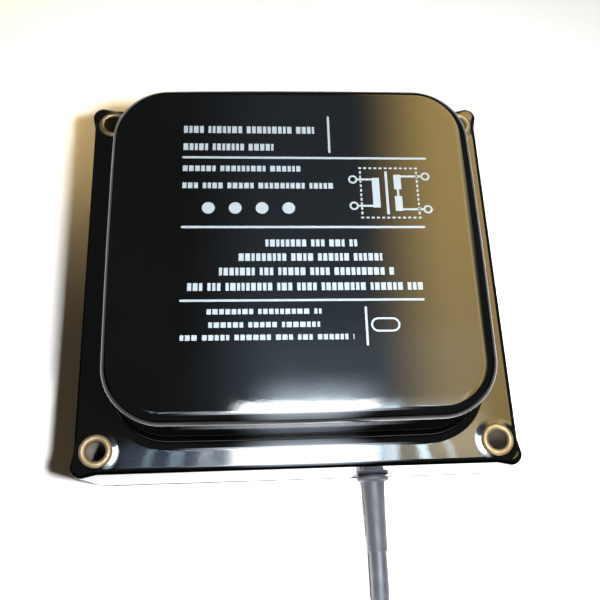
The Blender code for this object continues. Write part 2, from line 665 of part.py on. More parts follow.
# High-voltage outlets
def build_outlets():
    tube_r = BUSHING_TUBE / 2
    collar_r = BUSHING_COLLAR / 2
    bore = BUSHING_BORE / 2
    collar_top = BOARD_HEIGHT - GAP
    collar_low = collar_top - BUSHING_COLLAR_THICK
    stud_hole = STUD_DIAMETER / 2 + GAP
    chamfer = 0.5 * MM
    profile = [(stud_hole, HV_TOP), (tube_r - chamfer, HV_TOP), (tube_r, HV_TOP - chamfer),
               (tube_r, collar_top), (collar_r - chamfer, collar_top),
               (collar_r, collar_top - chamfer), (collar_r, collar_low + chamfer),
               (collar_r - chamfer, collar_low), (tube_r, collar_low),
               (tube_r, BUSHING_RIM + chamfer), (tube_r - chamfer, BUSHING_RIM),
               (bore, BUSHING_RIM), (bore, BOARD_TOP), (stud_hole, BOARD_TOP)]
    stud_r = STUD_DIAMETER / 2
    tip_r = STUD_TIP / 2
    tip_low = BUSHING_RIM + 2.0 * MM
    stud = [(0, HV_TOP + STUD_TAIL), (stud_r, HV_TOP + STUD_TAIL), (stud_r, tip_low + 5.0 * MM),
            (tip_r * 0.8, tip_low + 4.2 * MM), (tip_r, tip_low + 3.0 * MM),
            (tip_r, tip_low + 1.2 * MM), (tip_r * 0.7, tip_low + 0.3 * MM), (0, tip_low)]
    for side, sx in (("left", -1), ("right", 1)):
        place = (sx * HV_SPREAD, HV_Y, 0)
        turned("hv_bushing_" + side, profile, place, PORCELAIN, closed=True)
        turned("hv_stud_" + side, stud, place, STUD_BRASS, sides=SMALL_ROUND)


# Supply terminals
def ring_tag(name, centre, normal_turn, barrel_turn):
    """Crimp tag in its own XY plane, its barrel towards +X and under the plate."""
    eye = BOLT_DIAMETER / 2 + GAP
    edge = HEX_FLATS / 2
    matrix = Matrix.Translation(centre) @ normal_turn @ barrel_turn
    half = TAG_BARREL * 0.4
    opening = math.asin(half / edge)
    steps = SMALL_ROUND
    turns = [opening + step / steps * (math.tau - 2 * opening) for step in range(steps + 1)]
    plate = [(edge * math.cos(angle), edge * math.sin(angle)) for angle in turns]
    plate += [(edge + TAG_TONGUE, -half), (edge + TAG_TONGUE, half)]
    tag = flat_outline(name, [plate, round_loop(eye, (0, 0))], TAG_THICK, matrix, TIN)
    bm = bmesh.new()
    bmesh.ops.create_cone(bm, cap_ends=True, segments=12, radius1=TAG_BARREL / 2,
                          radius2=TAG_BARREL / 2, depth=TAG_BARREL_LENGTH)
    barrel = add_mesh_object("barrel_of_" + name, bm, TIN, CUTTERS)
    drop = TAG_BARREL / 2 - TAG_THICK / 2
    middle = edge + GAP + TAG_BARREL_LENGTH / 2
    barrel.matrix_world = (matrix @ Matrix.Translation((middle, 0, -drop))
                           @ Matrix.Rotation(math.pi / 2, 4, "Y"))
    cut(tag, as_cutter(barrel), "UNION")


def barrel_end():
    return HEX_FLATS / 2 + TAG_BARREL_LENGTH + 2 * GAP


def earth_axis_y():
    return -SKIRT_Y + EARTH_SETBACK


def build_terminals():
    head_high = BOARD_HEIGHT - 2 * GAP - TAG_THICK
    for index, name in enumerate(("brown", "blue")):
        y = TERMINAL_Y[index]
        screw = cylinder("primary_terminal_" + name, TERMINAL_HEAD / 2,
                         head_high - TERMINAL_HEAD_HEIGHT, head_high, (TERMINAL_X, y), STUD_BRASS,
                         sides=ROUND)
        stem = cylinder("terminal_stem_" + name, BOLT_DIAMETER / 2,
                        head_high - TERMINAL_HEAD_HEIGHT / 2, TERMINAL_TOP, (TERMINAL_X, y),
                        STUD_BRASS, CUTTERS, SMALL_ROUND)
        cut(screw, as_cutter(stem), "UNION")
        slot = box("terminal_slot_" + name, (1.0 * MM, TERMINAL_HEAD * 2, 2 * MM),
                   (TERMINAL_X, y, head_high - TERMINAL_HEAD_HEIGHT), None, CUTTERS)
        cut(screw, as_cutter(slot))
        ring_tag("ring_tag_" + name, (TERMINAL_X, y, TAG_HEIGHT), Matrix.Identity(4),
                 Matrix.Identity(4))


def build_earth():
    y = earth_axis_y()
    wall = SKIRT_X - SHEET
    inwards = Vector((-1, 0, 0))
    radius = BOLT_DIAMETER / 2
    stud = [(0, EARTH_STUD_LENGTH), (radius - 0.4 * MM, EARTH_STUD_LENGTH),
            (radius, EARTH_STUD_LENGTH - 0.4 * MM), (radius, 0), (0, 0)]
    turned("earth_stud", stud, (wall - GAP, y, EARTH_HEIGHT), FASTENER, sides=SMALL_ROUND,
           direction=inwards)
    face = Matrix.Rotation(-math.pi / 2, 4, "Y")
    tag_x = wall - 2 * GAP - TAG_THICK / 2 - (TAG_BARREL - TAG_THICK)
    ring_tag("earth_tag", (tag_x, y, EARTH_HEIGHT), face, Matrix.Rotation(-math.pi / 2, 4, "Z"))
    nut_face = tag_x - TAG_THICK / 2 - GAP
    hexagon = round_loop(HEX_FLATS / math.sqrt(3), (0, 0), 6)
    place = Matrix.Translation((nut_face - NUT_HEIGHT / 2, y, EARTH_HEIGHT))
    flat_outline("earth_nut", [hexagon, round_loop(radius + GAP, (0, 0))], NUT_HEIGHT,
                 place @ face @ Matrix.Rotation(math.pi / 6, 4, "Z"), FASTENER)


# Lead inside the skirt
def clamp_y():
    return GROMMET_IN + GAP + SHEATH_INSIDE / 2


def clamp_screw_places():
    reach = LEAD_RADIUS + GAP + CLAMP_STRIP + CLAMP_FOOT / 2
    return (LEAD_X - reach, LEAD_X + reach)


def build_clamp():
    inner = LEAD_RADIUS + GAP
    outer = inner + CLAMP_STRIP
    foot_top = BOARD_HEIGHT - GAP - LEAD_HEIGHT
    foot_low = foot_top - CLAMP_STRIP
    reach = outer + CLAMP_FOOT
    steps = 8
    under = [(outer * math.cos(math.pi + step * math.pi / steps),
              outer * math.sin(math.pi + step * math.pi / steps)) for step in range(steps + 1)]
    hollow = [(inner * math.cos(-step * math.pi / steps),
               inner * math.sin(-step * math.pi / steps)) for step in range(steps + 1)]
    loop = [(-inner, foot_top), (-reach, foot_top), (-reach, foot_low), (-outer, foot_low)]
    loop += under + [(outer, foot_low), (reach, foot_low), (reach, foot_top), (inner, foot_top)]
    loop += hollow
    stand = (Matrix.Translation((LEAD_X, clamp_y(), LEAD_HEIGHT))
             @ Matrix.Rotation(math.pi / 2, 4, "X"))
    clamp = flat_outline("lead_clamp", [loop], CLAMP_WIDTH, stand, FASTENER)
    for index, x in enumerate(clamp_screw_places()):
        low = LEAD_HEIGHT + foot_low
        hole = cylinder("clamp_hole_%d" % index, CLAMP_SCREW / 2 + GAP, low - CLAMP_STRIP,
                        BOARD_HEIGHT, (x, clamp_y()), None, CUTTERS, SMALL_ROUND)
        cut(clamp, as_cutter(hole))
        name = "clamp_screw_" + ("left", "right")[index]
        head = low - GAP
        screw = cylinder(name, CLAMP_SCREW_HEAD / 2, head - 1.6 * MM, head, (x, clamp_y()),
                         FASTENER, sides=SMALL_ROUND)
        stem = cylinder("stem_of_" + name, CLAMP_SCREW / 2, head - 0.8 * MM,
                        BOARD_TOP + 3 * MM - GAP, (x, clamp_y()), FASTENER, CUTTERS, SMALL_ROUND)
        cut(screw, as_cutter(stem), "UNION")


def build_grommet():
    neck = GROMMET_NECK / 2
    lip = GROMMET_LIP / 2
    tip = GROMMET_TIP / 2
    length = WALL_FRONT - SLEEVE_END
    lip_out = WALL_FRONT - GROMMET_OUT
    groove_out = GAP
    groove_in = -SHEET - GAP
    lip_in = WALL_FRONT - GROMMET_IN
    round_off = 0.3 * MM
    profile = [(0, length), (tip - round_off, length), (tip, length - round_off),
               (neck * 0.93, lip_out + 5 * MM), (neck, lip_out + 1 * MM),
               (lip - 2 * round_off, lip_out), (lip, lip_out - round_off), (lip, groove_out),
               (neck, groove_out), (neck, groove_in), (lip, groove_in), (lip, lip_in), (0, lip_in)]
    turned("lead_grommet", profile, (LEAD_X, WALL_FRONT, LEAD_HEIGHT), RUBBER, direction=FRONT)


def core_wire_routes():
    start = SHEATH_END + GAP
    reach = TERMINAL_X + barrel_end()
    barrel_z = TAG_HEIGHT + TAG_THICK / 2 - TAG_BARREL / 2
    earth_x = SKIRT_X - SHEET - 2 * GAP - TAG_THICK / 2 - (TAG_BARREL - TAG_THICK)
    earth_x += TAG_BARREL / 2 - TAG_THICK / 2
    earth_y = earth_axis_y() - barrel_end()
    first, second = TERMINAL_Y
    spread = (WIRE_DIAMETER + GAP) / 2
    upper = LEAD_HEIGHT + spread / math.sqrt(3)
    lower = LEAD_HEIGHT - 2 * spread / math.sqrt(3)
    ahead = LINK_EASE
    brown = [(LEAD_X - spread, start, upper), (LEAD_X - spread, start + ahead / 2, upper),
             (reach + ahead, first, barrel_z), (reach, first, barrel_z)]
    blue = [(LEAD_X, start, lower), (LEAD_X, start + ahead, lower),
            (LEAD_X - spread, second - 2 * ahead, LEAD_HEIGHT),
            (reach + ahead, second, barrel_z), (reach, second, barrel_z)]
    earth = [(LEAD_X + spread, start, upper), (LEAD_X + spread, start + ahead, upper),
             (LEAD_X + 4 * spread, start + 3 * ahead, LEAD_HEIGHT),
             (earth_x - 6 * ahead, earth_y - ahead, LEAD_HEIGHT),
             (earth_x - ahead, earth_y - 1.5 * ahead, EARTH_HEIGHT),
             (earth_x, earth_y - ahead, EARTH_HEIGHT), (earth_x, earth_y, EARTH_HEIGHT)]
    return (("brown", brown, BROWN_WIRE), ("blue", blue, BLUE_WIRE), ("earth", earth, GREEN_WIRE))


def build_inner_lead():
    tube("lead_inner_sheath", [(LEAD_X, GROMMET_IN + GAP, LEAD_HEIGHT),
                               (LEAD_X, SHEATH_END, LEAD_HEIGHT)], LEAD_DIAMETER, LEAD_PVC,
         resolution=4, spacing=SHEATH_INSIDE / 2)
    for name, route, material in core_wire_routes():
        tube("core_wire_" + name, route, WIRE_DIAMETER, material, spacing=WIRE_DIAMETER)


# Free lead: out of the sleeve, down to the floor, into a flat coil
def lead_route():
    floor = LEAD_RADIUS + GAP
    start = SLEEVE_END - GAP
    drop = LEAD_HEIGHT - floor
    level = start - LEAD_LEVEL
    return [(LEAD_X, start, LEAD_HEIGHT), (LEAD_X, level, LEAD_HEIGHT),
            (LEAD_X, level - 0.4 * LEAD_SLOPE, LEAD_HEIGHT - 0.25 * drop),
            (LEAD_X, level - 0.9 * LEAD_SLOPE, floor + 0.2 * drop),
            (LEAD_X, level - 1.4 * LEAD_SLOPE, floor), (LEAD_X, coil_entry_y(), floor)]


def coil_outer():
    return COIL_OUTER_TURN + LEAD_RADIUS + GAP


def coil_inner():
    return COIL_OUTER_TURN - COIL_TURNS * COIL_PITCH - LEAD_RADIUS - GAP


def coil_entry_y():
    touch = coil_outer() + GAP
    side = COIL_OUTER_TURN - LEAD_RADIUS
    return COIL_CENTRE_Y + math.sqrt(touch ** 2 - side ** 2)


def end_wire_route(index):
    """An arc inside the coil that curls inwards, so that the stripped ends lie in its hole."""
    spacing = (FERRULE_DIAMETER + 2 * GAP) / (1 - END_WIRE_CURL)
    first_radius = coil_inner() - GAP - WIRE_DIAMETER / 2 - index * spacing
    turn = END_WIRE_LENGTH / coil_inner()
    low = FERRULE_DIAMETER / 2 + GAP
    route = []
    for share in [step / 6 for step in range(7)]:
        radius = first_radius * (1 - END_WIRE_CURL * share ** 2)
        route.append((COIL_X + radius * math.cos(turn * share),
                      COIL_CENTRE_Y - radius * math.sin(turn * share), low))
    return route


def build_free_lead():
    tube("supply_lead", lead_route(), LEAD_DIAMETER, LEAD_PVC, resolution=4, spacing=LEAD_DIAMETER)
    top = LEAD_DIAMETER + 2 * GAP
    ring = [(coil_inner(), top), (coil_outer(), top), (coil_outer(), GAP), (coil_inner(), GAP)]
    turned("supply_lead_coil", ring, (COIL_X, COIL_CENTRE_Y, 0), LEAD_PVC, closed=True, sides=40)
    for index, (name, material) in enumerate((("brown", BROWN_WIRE), ("blue", BLUE_WIRE),
                                              ("earth", GREEN_WIRE))):
        route = end_wire_route(index)
        tube("end_wire_" + name, route, WIRE_DIAMETER, material)
        end = Vector(route[-1])
        aim = (end - Vector(route[-2])).normalized()
        ferrule = [(0, FERRULE_LENGTH), (FERRULE_DIAMETER / 2, FERRULE_LENGTH),
                   (FERRULE_DIAMETER / 2, 0), (0, 0)]
        turned("ferrule_" + name, ferrule, end + aim * GAP, TIN, sides=12, direction=aim)


build_housing()
build_eyelets()
build_core()
build_coil("primary", 0.0, PRIMARY_LENGTH)
build_coil("left_secondary", -SECONDARY_X, SECONDARY_LENGTH)
build_coil("right_secondary", SECONDARY_X, SECONDARY_LENGTH)
build_shunts()
build_links()
build_compound()
build_board()
build_outlets()
build_terminals()
build_earth()
build_clamp()
build_grommet()
build_inner_lead()
build_free_lead()
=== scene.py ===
# Looks of the ignition transformer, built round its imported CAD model.
# Metres, +Z up, the can's rim on z = 0, the lead's side towards -Y.
import json
import math
import random

import bmesh
import bpy
from mathutils import Matrix, Vector


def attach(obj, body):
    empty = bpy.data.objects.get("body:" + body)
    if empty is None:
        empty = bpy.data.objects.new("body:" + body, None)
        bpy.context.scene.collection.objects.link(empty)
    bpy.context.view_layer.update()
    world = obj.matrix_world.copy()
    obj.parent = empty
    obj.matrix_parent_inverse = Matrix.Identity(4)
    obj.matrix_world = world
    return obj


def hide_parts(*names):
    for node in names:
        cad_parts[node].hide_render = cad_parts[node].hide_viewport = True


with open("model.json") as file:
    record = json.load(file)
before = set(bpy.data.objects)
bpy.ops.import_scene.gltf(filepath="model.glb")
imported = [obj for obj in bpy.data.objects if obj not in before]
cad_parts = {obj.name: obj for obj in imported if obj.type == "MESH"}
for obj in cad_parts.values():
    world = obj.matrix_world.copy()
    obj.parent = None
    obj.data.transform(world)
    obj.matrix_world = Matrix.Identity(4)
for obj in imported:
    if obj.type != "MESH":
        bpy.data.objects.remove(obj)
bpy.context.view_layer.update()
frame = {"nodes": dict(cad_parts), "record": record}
NODES = frame["nodes"]

MM = 0.001
GAP = 0.3 * MM

# Can, as in the part's source
SHEET = 1.2 * MM
SKIRT_X = 60.0 * MM
SKIRT_Y = 56.0 * MM
LEDGE_HEIGHT = 30.0 * MM
SKIRT_CORNER = 3.2 * MM
LEDGE_BEND = 1.5 * MM
CORNER_EAR = 0.8 * MM
EAR_LENGTH = 3.0 * MM
DOME_X = 50.0 * MM
DOME_Y = 47.8 * MM
DOME_TOP = 53.0 * MM
DOME_CORNER = 15.0 * MM
DOME_EDGE = 3.0 * MM
DOME_BOW = 0.5 * MM
DOME_FOOT = 3.0 * MM
RIM_ROUND = 0.5 * MM
EYELET_X = 54.0 * MM
EYELET_Y = 50.0 * MM
EYELET_BORE = 2.65 * MM
EYELET_TUBE = 3.35 * MM
EYELET_HEAD = 4.4 * MM
EYELET_ROLL = 0.9 * MM
EYELET_SEAT = LEDGE_HEIGHT + GAP
BOARD_FACE = 9.0 * MM

# Lead, as in the part's source
LEAD_X = 23.0 * MM
LEAD_HEIGHT = 5.3 * MM
LEAD_RADIUS = 2.6 * MM
LEAD_LOW = LEAD_RADIUS + GAP
NOTCH_RADIUS = 3.7 * MM
COIL_X = -9.0 * MM
COIL_Y = -135.0 * MM
COIL_OUTER_TURN = 32.0 * MM
COIL_PITCH = 5.3 * MM
COIL_TURNS = 2
COIL_HOLE = COIL_OUTER_TURN - COIL_TURNS * COIL_PITCH - LEAD_RADIUS - GAP
WIRE_RADIUS = 0.9 * MM
END_WIRE_LENGTH = 20.0 * MM
END_WIRE_CURL = 0.25
FERRULE_RADIUS = 0.95 * MM

# Stripped cores: name, slot, and place in the sheath's end, across and up
CORE_REACH = 0.85 * MM
CORES = (("brown", "brown_wire", 1.0, 1.0), ("blue", "blue_wire", 0.0, -0.75),
         ("earth", "green_yellow_wire", -1.0, 1.0))

# Rubber sleeve and its lips
SLEEVE_BORE = LEAD_RADIUS + 0.02 * MM
SLEEVE_LENGTH = 21.4 * MM
NECK_RADIUS = 3.4 * MM
LIP_RADIUS = 4.3 * MM
LIP_ROUND = 0.4 * MM

# Tie round the coil
TIE_ANGLE = math.radians(200)
TIE_THICK = 0.18 * MM
TIE_HALF_WIDTH = 1.6 * MM
TIE_SLACK_ACROSS = 0.35 * MM
TIE_SLACK_UP = 0.12 * MM

# Shallow forms drawn by the enamel: the sheet pulled up round each eyelet's middle, and the
# fall of the dome's top towards its two sides, measured in from the dome's outline
PULL_START = 3.5 * MM
PULL_END = 6.4 * MM
PULL_HEIGHT = 0.29 * MM
SHOULDER_START = 4.8 * MM
SHOULDER_END = 1.2 * MM
SHOULDER_DROP = 0.34 * MM
SHOULDER_FROM_X = 38.0 * MM
SHOULDER_FULL_X = 46.0 * MM
SHOULDER_FROM_HEIGHT = LEDGE_HEIGHT + 4.0 * MM

# Painted shade: the enamel is made matt, so that it mirrors nothing, on the rim as a painted
# contact shadow and on the ledge's bend as painted shade over its mirrored outline; heights on
# the rim, and distances from the middle of the ledge's bend
RIM_MATT = 2.4 * MM
RIM_GLOSSY = 4.8 * MM
BEND_MATT = 0.35 * MM
BEND_GLOSSY = 0.68 * MM

# Mesh fineness
CORNER_STEPS = 18
SIDE_POINTS = 9
FILLET_STEPS = 12
BEND_STEPS = 8
RIM_STEPS = 4
TURN_POINTS = 24
CURVE_STEPS = 24
END_WIRE_STEPS = 6
CARD_COLUMNS = 24
CARD_ROWS = 40

# Camera, from a fit to the can's edges and eyelets in the photograph
CAMERA_PLACE = (-0.0124, -0.0792, 0.2255)
CAMERA_TURN = (0.3472, -0.0670, -0.0162)
FOCAL_PIXELS = 723.0
FRAME_PIXELS = 600.0
SENSOR = 36.0


# Camera
def make_camera():
    data = bpy.data.cameras.new("camera")
    data.sensor_width = SENSOR
    data.lens = FOCAL_PIXELS / FRAME_PIXELS * SENSOR
    data.clip_start = 0.005
    data.clip_end = 20.0
    camera = bpy.data.objects.new("camera", data)
    tilt, roll, spin = CAMERA_TURN
    turn = (Matrix.Rotation(tilt, 4, "X") @ Matrix.Rotation(roll, 4, "Y")
            @ Matrix.Rotation(spin, 4, "Z"))
    camera.matrix_world = Matrix.Translation(CAMERA_PLACE) @ turn
    bpy.context.scene.collection.objects.link(camera)
    bpy.context.scene.camera = camera


# Shader helpers
def new_material(name, colour, roughness, metallic=0.0):
    """A Principled material; returns it with its tree and shader."""
    made = bpy.data.materials.new(name)
    made.use_nodes = True
    tree = made.node_tree
    shader = tree.nodes["Principled BSDF"]
    shader.inputs["Base Color"].default_value = (*colour, 1.0)
    shader.inputs["Roughness"].default_value = roughness
    shader.inputs["Metallic"].default_value = metallic
    return made, tree, shader


def place(tree):
    """Object coordinates, which are metres here."""
    return tree.nodes.new("ShaderNodeTexCoord").outputs["Object"]


def axes(tree, coordinates):
    """The X, Y and Z of the coordinates, by name."""
    made = tree.nodes.new("ShaderNodeSeparateXYZ")
    tree.links.new(coordinates, made.inputs["Vector"])
    return made.outputs


def length_map(tree):
    """The tubes' own coordinates: turns round them and metres along them."""
    along = tree.nodes.new("ShaderNodeUVMap")
    along.uv_map = "along"
    return along.outputs["UV"]


def stretched(tree, coordinates, scale):
    made = tree.nodes.new("ShaderNodeMapping")
    made.inputs["Scale"].default_value = scale
    tree.links.new(coordinates, made.inputs["Vector"])
    return made.outputs["Vector"]


def noise(tree, coordinates, scale, detail=2.0, rough=0.5):
    made = tree.nodes.new("ShaderNodeTexNoise")
    made.inputs["Scale"].default_value = scale
    made.inputs["Detail"].default_value = detail
    made.inputs["Roughness"].default_value = rough
    tree.links.new(coordinates, made.inputs["Vector"])
    return made.outputs["Fac"]


def spread(tree, value, low, high, to_low=0.0, to_high=1.0):
    """The value eased from the range low to high into the range to_low to to_high."""
    made = tree.nodes.new("ShaderNodeMapRange")
    made.interpolation_type = "SMOOTHSTEP"
    for name, number in (("From Min", low), ("From Max", high), ("To Min", to_low),
                         ("To Max", to_high)):
        made.inputs[name].default_value = number
    tree.links.new(value, made.inputs["Value"])
    return made.outputs["Result"]


def maths(tree, operation, first, second=0.0):
    """A Math node on sockets or numbers; an operation on one value leaves the second unused."""
    made = tree.nodes.new("ShaderNodeMath")
    made.operation = operation
    for socket, value in zip(made.inputs, (first, second)):
        if isinstance(value, (int, float)):
            socket.default_value = value
        else:
            tree.links.new(value, socket)
    return made.outputs["Value"]


def product(tree, first, second):
    return maths(tree, "MULTIPLY", first, second)


def mixed(tree, share, first, second):
    """The first colour where share is 0, the second where it is 1."""
    made = tree.nodes.new("ShaderNodeMix")
    made.data_type = "RGBA"
    tree.links.new(share, made.inputs["Factor"])
    for socket, value in ((made.inputs[6], first), (made.inputs[7], second)):
        if isinstance(value, tuple):
            socket.default_value = (*value, 1.0)
        else:
            tree.links.new(value, socket)
    return made.outputs[2]


def bump(tree, shader, height):
    """Height in metres, at true size."""
    made = tree.nodes.new("ShaderNodeBump")
    made.inputs["Strength"].default_value = 1.0
    made.inputs["Distance"].default_value = 1.0
    tree.links.new(height, made.inputs["Height"])
    tree.links.new(made.outputs["Normal"], shader.inputs["Normal"])


def specks(tree, coordinates, scale, share, size):
    """A mask of small dots, on some of the cells of a Voronoi pattern."""
    cells = tree.nodes.new("ShaderNodeTexVoronoi")
    cells.inputs["Scale"].default_value = scale
    tree.links.new(coordinates, cells.inputs["Vector"])
    dot = spread(tree, cells.outputs["Distance"], size, size * 0.4)
    parts = tree.nodes.new("ShaderNodeSeparateColor")
    tree.links.new(cells.outputs["Color"], parts.inputs["Color"])
    chosen = maths(tree, "LESS_THAN", parts.outputs["Red"], share)
    return product(tree, dot, chosen)


# Shallow forms of the enamel
def plan_distance(tree, parts, reach_x, reach_y, outside_only=False):
    """Distance, seen from above, from the nearest of four points at the reaches each way.

    With outside_only it is the distance from the rectangle between those points.
    """
    squares = []
    for axis, reach in (("X", reach_x), ("Y", reach_y)):
        away = maths(tree, "SUBTRACT", maths(tree, "ABSOLUTE", parts[axis]), reach)
        if outside_only:
            away = maths(tree, "MAXIMUM", away, 0.0)
        squares.append(product(tree, away, away))
    return maths(tree, "SQRT", maths(tree, "ADD", *squares))


def pulled_up(tree, parts):
    """Height of the sheet where the eyelets' rolling has drawn it up around them."""
    radius = plan_distance(tree, parts, EYELET_X, EYELET_Y)
    return spread(tree, radius, PULL_START, PULL_END, PULL_HEIGHT, 0.0)


def shoulder_fall(tree, parts):
    """Fall of the dome's top just inside its two side edges, where the sheet is drawn softer."""
    radius = plan_distance(tree, parts, DOME_X - DOME_CORNER, DOME_Y - DOME_CORNER,
                           outside_only=True)
    fall = spread(tree, radius, DOME_CORNER - SHOULDER_START, DOME_CORNER - SHOULDER_END,
                  0.0, -SHOULDER_DROP)
    side = spread(tree, maths(tree, "ABSOLUTE", parts["X"]), SHOULDER_FROM_X, SHOULDER_FULL_X)
    top = spread(tree, parts["Z"], SHOULDER_FROM_HEIGHT, DOME_TOP - DOME_EDGE)
    return product(tree, fall, product(tree, side, top))


def shade_painted_specular(tree, parts):
    """Specular level, which is nought on the rim and the ledge's bend: painted shade, a contact
    shadow along the rim and shade over the bend.
    """
    off_rim = spread(tree, parts["Z"], RIM_MATT, RIM_GLOSSY, 0.0, 0.5)
    bend_middle = LEDGE_HEIGHT - LEDGE_BEND / 2
    from_bend = maths(tree, "ABSOLUTE", maths(tree, "SUBTRACT", parts["Z"], bend_middle))
    off_bend = spread(tree, from_bend, BEND_MATT, BEND_GLOSSY)
    return product(tree, off_rim, off_bend)


# Materials; scales are in cells per metre, heights of bumps in metres
def enamel():
    """Glossy black enamel with a little dust, slightly wavy."""
    made, tree, shader = new_material("black_enamel", (0.001, 0.001, 0.001), 0.06)
    where = place(tree)
    parts = axes(tree, where)
    dust = specks(tree, where, 130.0, 0.10, 0.045)
    film = spread(tree, noise(tree, where, 45.0, 3.0), 0.35, 0.75)
    tint = mixed(tree, film, (0.0003, 0.0003, 0.0003), (0.0008, 0.0008, 0.0009))
    tree.links.new(mixed(tree, dust, tint, (0.08, 0.06, 0.035)), shader.inputs["Base Color"])
    haze = spread(tree, noise(tree, where, 60.0, 4.0, 0.6), 0.3, 0.8, 0.02, 0.07)
    tree.links.new(maths(tree, "MAXIMUM", haze, product(tree, dust, 0.6)),
                   shader.inputs["Roughness"])
    # painted shade: no mirroring on the rim and the ledge's bend, standing in for their shadow
    tree.links.new(shade_painted_specular(tree, parts), shader.inputs["Specular IOR Level"])
    wave = product(tree, noise(tree, where, 34.0, 1.0), 0.00004)
    peel = product(tree, noise(tree, where, 900.0, 1.0), 0.0000015)
    relief = maths(tree, "ADD", maths(tree, "ADD", wave, peel), shoulder_fall(tree, parts))
    bump(tree, shader, maths(tree, "ADD", relief, pulled_up(tree, parts)))
    return made


def brass(name, colour, shine=1.0, dull_below=None):
    """Stained brass; below the height dull_below it is dull and grey, as in an eyelet's tube."""
    made, tree, shader = new_material(name, colour, 0.2, shine)
    where = place(tree)
    stain = spread(tree, noise(tree, where, 260.0, 3.0), 0.4, 0.8)
    body = mixed(tree, stain, colour, tuple(0.6 * part for part in colour))
    if dull_below is not None:
        dull = spread(tree, axes(tree, where)["Z"], dull_below - 0.5 * MM,
                      dull_below + 0.5 * MM, 1.0, 0.0)
        body = mixed(tree, dull, body, (0.18, 0.16, 0.135))
        tree.links.new(maths(tree, "SUBTRACT", shine, dull), shader.inputs["Metallic"])
    tree.links.new(body, shader.inputs["Base Color"])
    tree.links.new(spread(tree, noise(tree, where, 900.0, 3.0), 0.3, 0.8, 0.34, 0.50),
                   shader.inputs["Roughness"])
    bump(tree, shader, product(tree, noise(tree, where, 700.0, 2.0), 0.000002))
    return made


def plastic(name, colour, roughness, grain=0.000004, fine=1800.0):
    """Moulded plastic, rubber or compound: faintly cloudy, with a fine grain."""
    made, tree, shader = new_material(name, colour, roughness)
    where = place(tree)
    cloud = spread(tree, noise(tree, where, 120.0, 3.0), 0.3, 0.8)
    light = tuple(min(1.0, 1.35 * part + 0.004) for part in colour)
    tree.links.new(mixed(tree, cloud, colour, light), shader.inputs["Base Color"])
    tree.links.new(spread(tree, noise(tree, where, 300.0, 2.0), 0.3, 0.8, roughness * 0.85,
                          min(1.0, roughness * 1.2)), shader.inputs["Roughness"])
    bump(tree, shader, product(tree, noise(tree, where, fine, 2.0), grain))
    return made


def plated(name, colour, roughness):
    """Zinc or tin plate: a faint cloudy bloom over rolled steel."""
    made, tree, shader = new_material(name, colour, roughness, 1.0)
    where = place(tree)
    bloom = spread(tree, noise(tree, where, 260.0, 5.0, 0.65), 0.35, 0.7)
    dull = tuple(0.62 * part for part in colour)
    tree.links.new(mixed(tree, bloom, colour, dull), shader.inputs["Base Color"])
    tree.links.new(spread(tree, bloom, 0.0, 1.0, roughness * 0.7, roughness * 1.5),
                   shader.inputs["Roughness"])
    bump(tree, shader, product(tree, noise(tree, where, 1500.0, 3.0), 0.000008))
    return made


def laminate():
    """Resin-bonded paper board: brown, with a faint mottle and long fibres."""
    made, tree, shader = new_material("base_board", (0.23, 0.105, 0.035), 0.34)
    where = place(tree)
    fibres = noise(tree, stretched(tree, where, (0.12, 1.0, 1.0)), 900.0, 4.0, 0.7)
    mottle = noise(tree, where, 70.0, 4.0, 0.6)
    share = spread(tree, maths(tree, "ADD", product(tree, fibres, 0.45),
                               product(tree, mottle, 0.55)), 0.35, 0.65)
    tree.links.new(mixed(tree, share, (0.15, 0.062, 0.020), (0.30, 0.145, 0.052)),
                   shader.inputs["Base Color"])
    tree.links.new(spread(tree, mottle, 0.3, 0.8, 0.26, 0.5), shader.inputs["Roughness"])
    bump(tree, shader, product(tree, fibres, 0.000012))
    return made


def porcelain():
    """Off-white glaze, with a few dark pits."""
    glaze = (0.80, 0.78, 0.71)
    made, tree, shader = new_material("white_porcelain", glaze, 0.12)
    where = place(tree)
    cloud = spread(tree, noise(tree, where, 200.0, 3.0), 0.3, 0.8)
    pits = specks(tree, where, 700.0, 0.06, 0.10)
    body = mixed(tree, cloud, glaze, (0.72, 0.69, 0.61))
    tree.links.new(mixed(tree, pits, body, (0.25, 0.20, 0.14)), shader.inputs["Base Color"])
    tree.links.new(spread(tree, cloud, 0.0, 1.0, 0.08, 0.20), shader.inputs["Roughness"])
    bump(tree, shader, product(tree, noise(tree, where, 500.0, 2.0), 0.00001))
    return made


def copper_wire():
    """Enamelled windings: fine turns lie across the limb, lighter on their crests and darker in
    the grooves between them, which is painted shade.
    """
    made, tree, shader = new_material("enamelled_copper", (0.42, 0.14, 0.04), 0.3, 0.7)
    turns = tree.nodes.new("ShaderNodeTexWave")
    turns.inputs["Scale"].default_value = 900.0
    turns.inputs["Distortion"].default_value = 0.3
    tree.links.new(place(tree), turns.inputs["Vector"])
    # painted shade: dark colour in the grooves between turns and light on their crests, following
    # the bump
    tree.links.new(mixed(tree, turns.outputs["Fac"], (0.20, 0.06, 0.02), (0.50, 0.19, 0.06)),
                   shader.inputs["Base Color"])
    bump(tree, shader, product(tree, turns.outputs["Fac"], 0.00004))
    return made


def sheath():
    """Black PVC: drawn lines along it and a soft sheen."""
    made, tree, shader = new_material("lead_pvc", (0.030, 0.033, 0.040), 0.36)
    lines = noise(tree, stretched(tree, length_map(tree), (60.0, 0.25, 1.0)), 8.0, 2.0)
    dusty = spread(tree, noise(tree, place(tree), 160.0, 4.0, 0.6), 0.45, 0.8)
    tree.links.new(mixed(tree, dusty, (0.026, 0.029, 0.035), (0.045, 0.048, 0.055)),
                   shader.inputs["Base Color"])
    tree.links.new(spread(tree, lines, 0.3, 0.7, 0.30, 0.44), shader.inputs["Roughness"])
    bump(tree, shader, product(tree, lines, 0.00002))
    return made


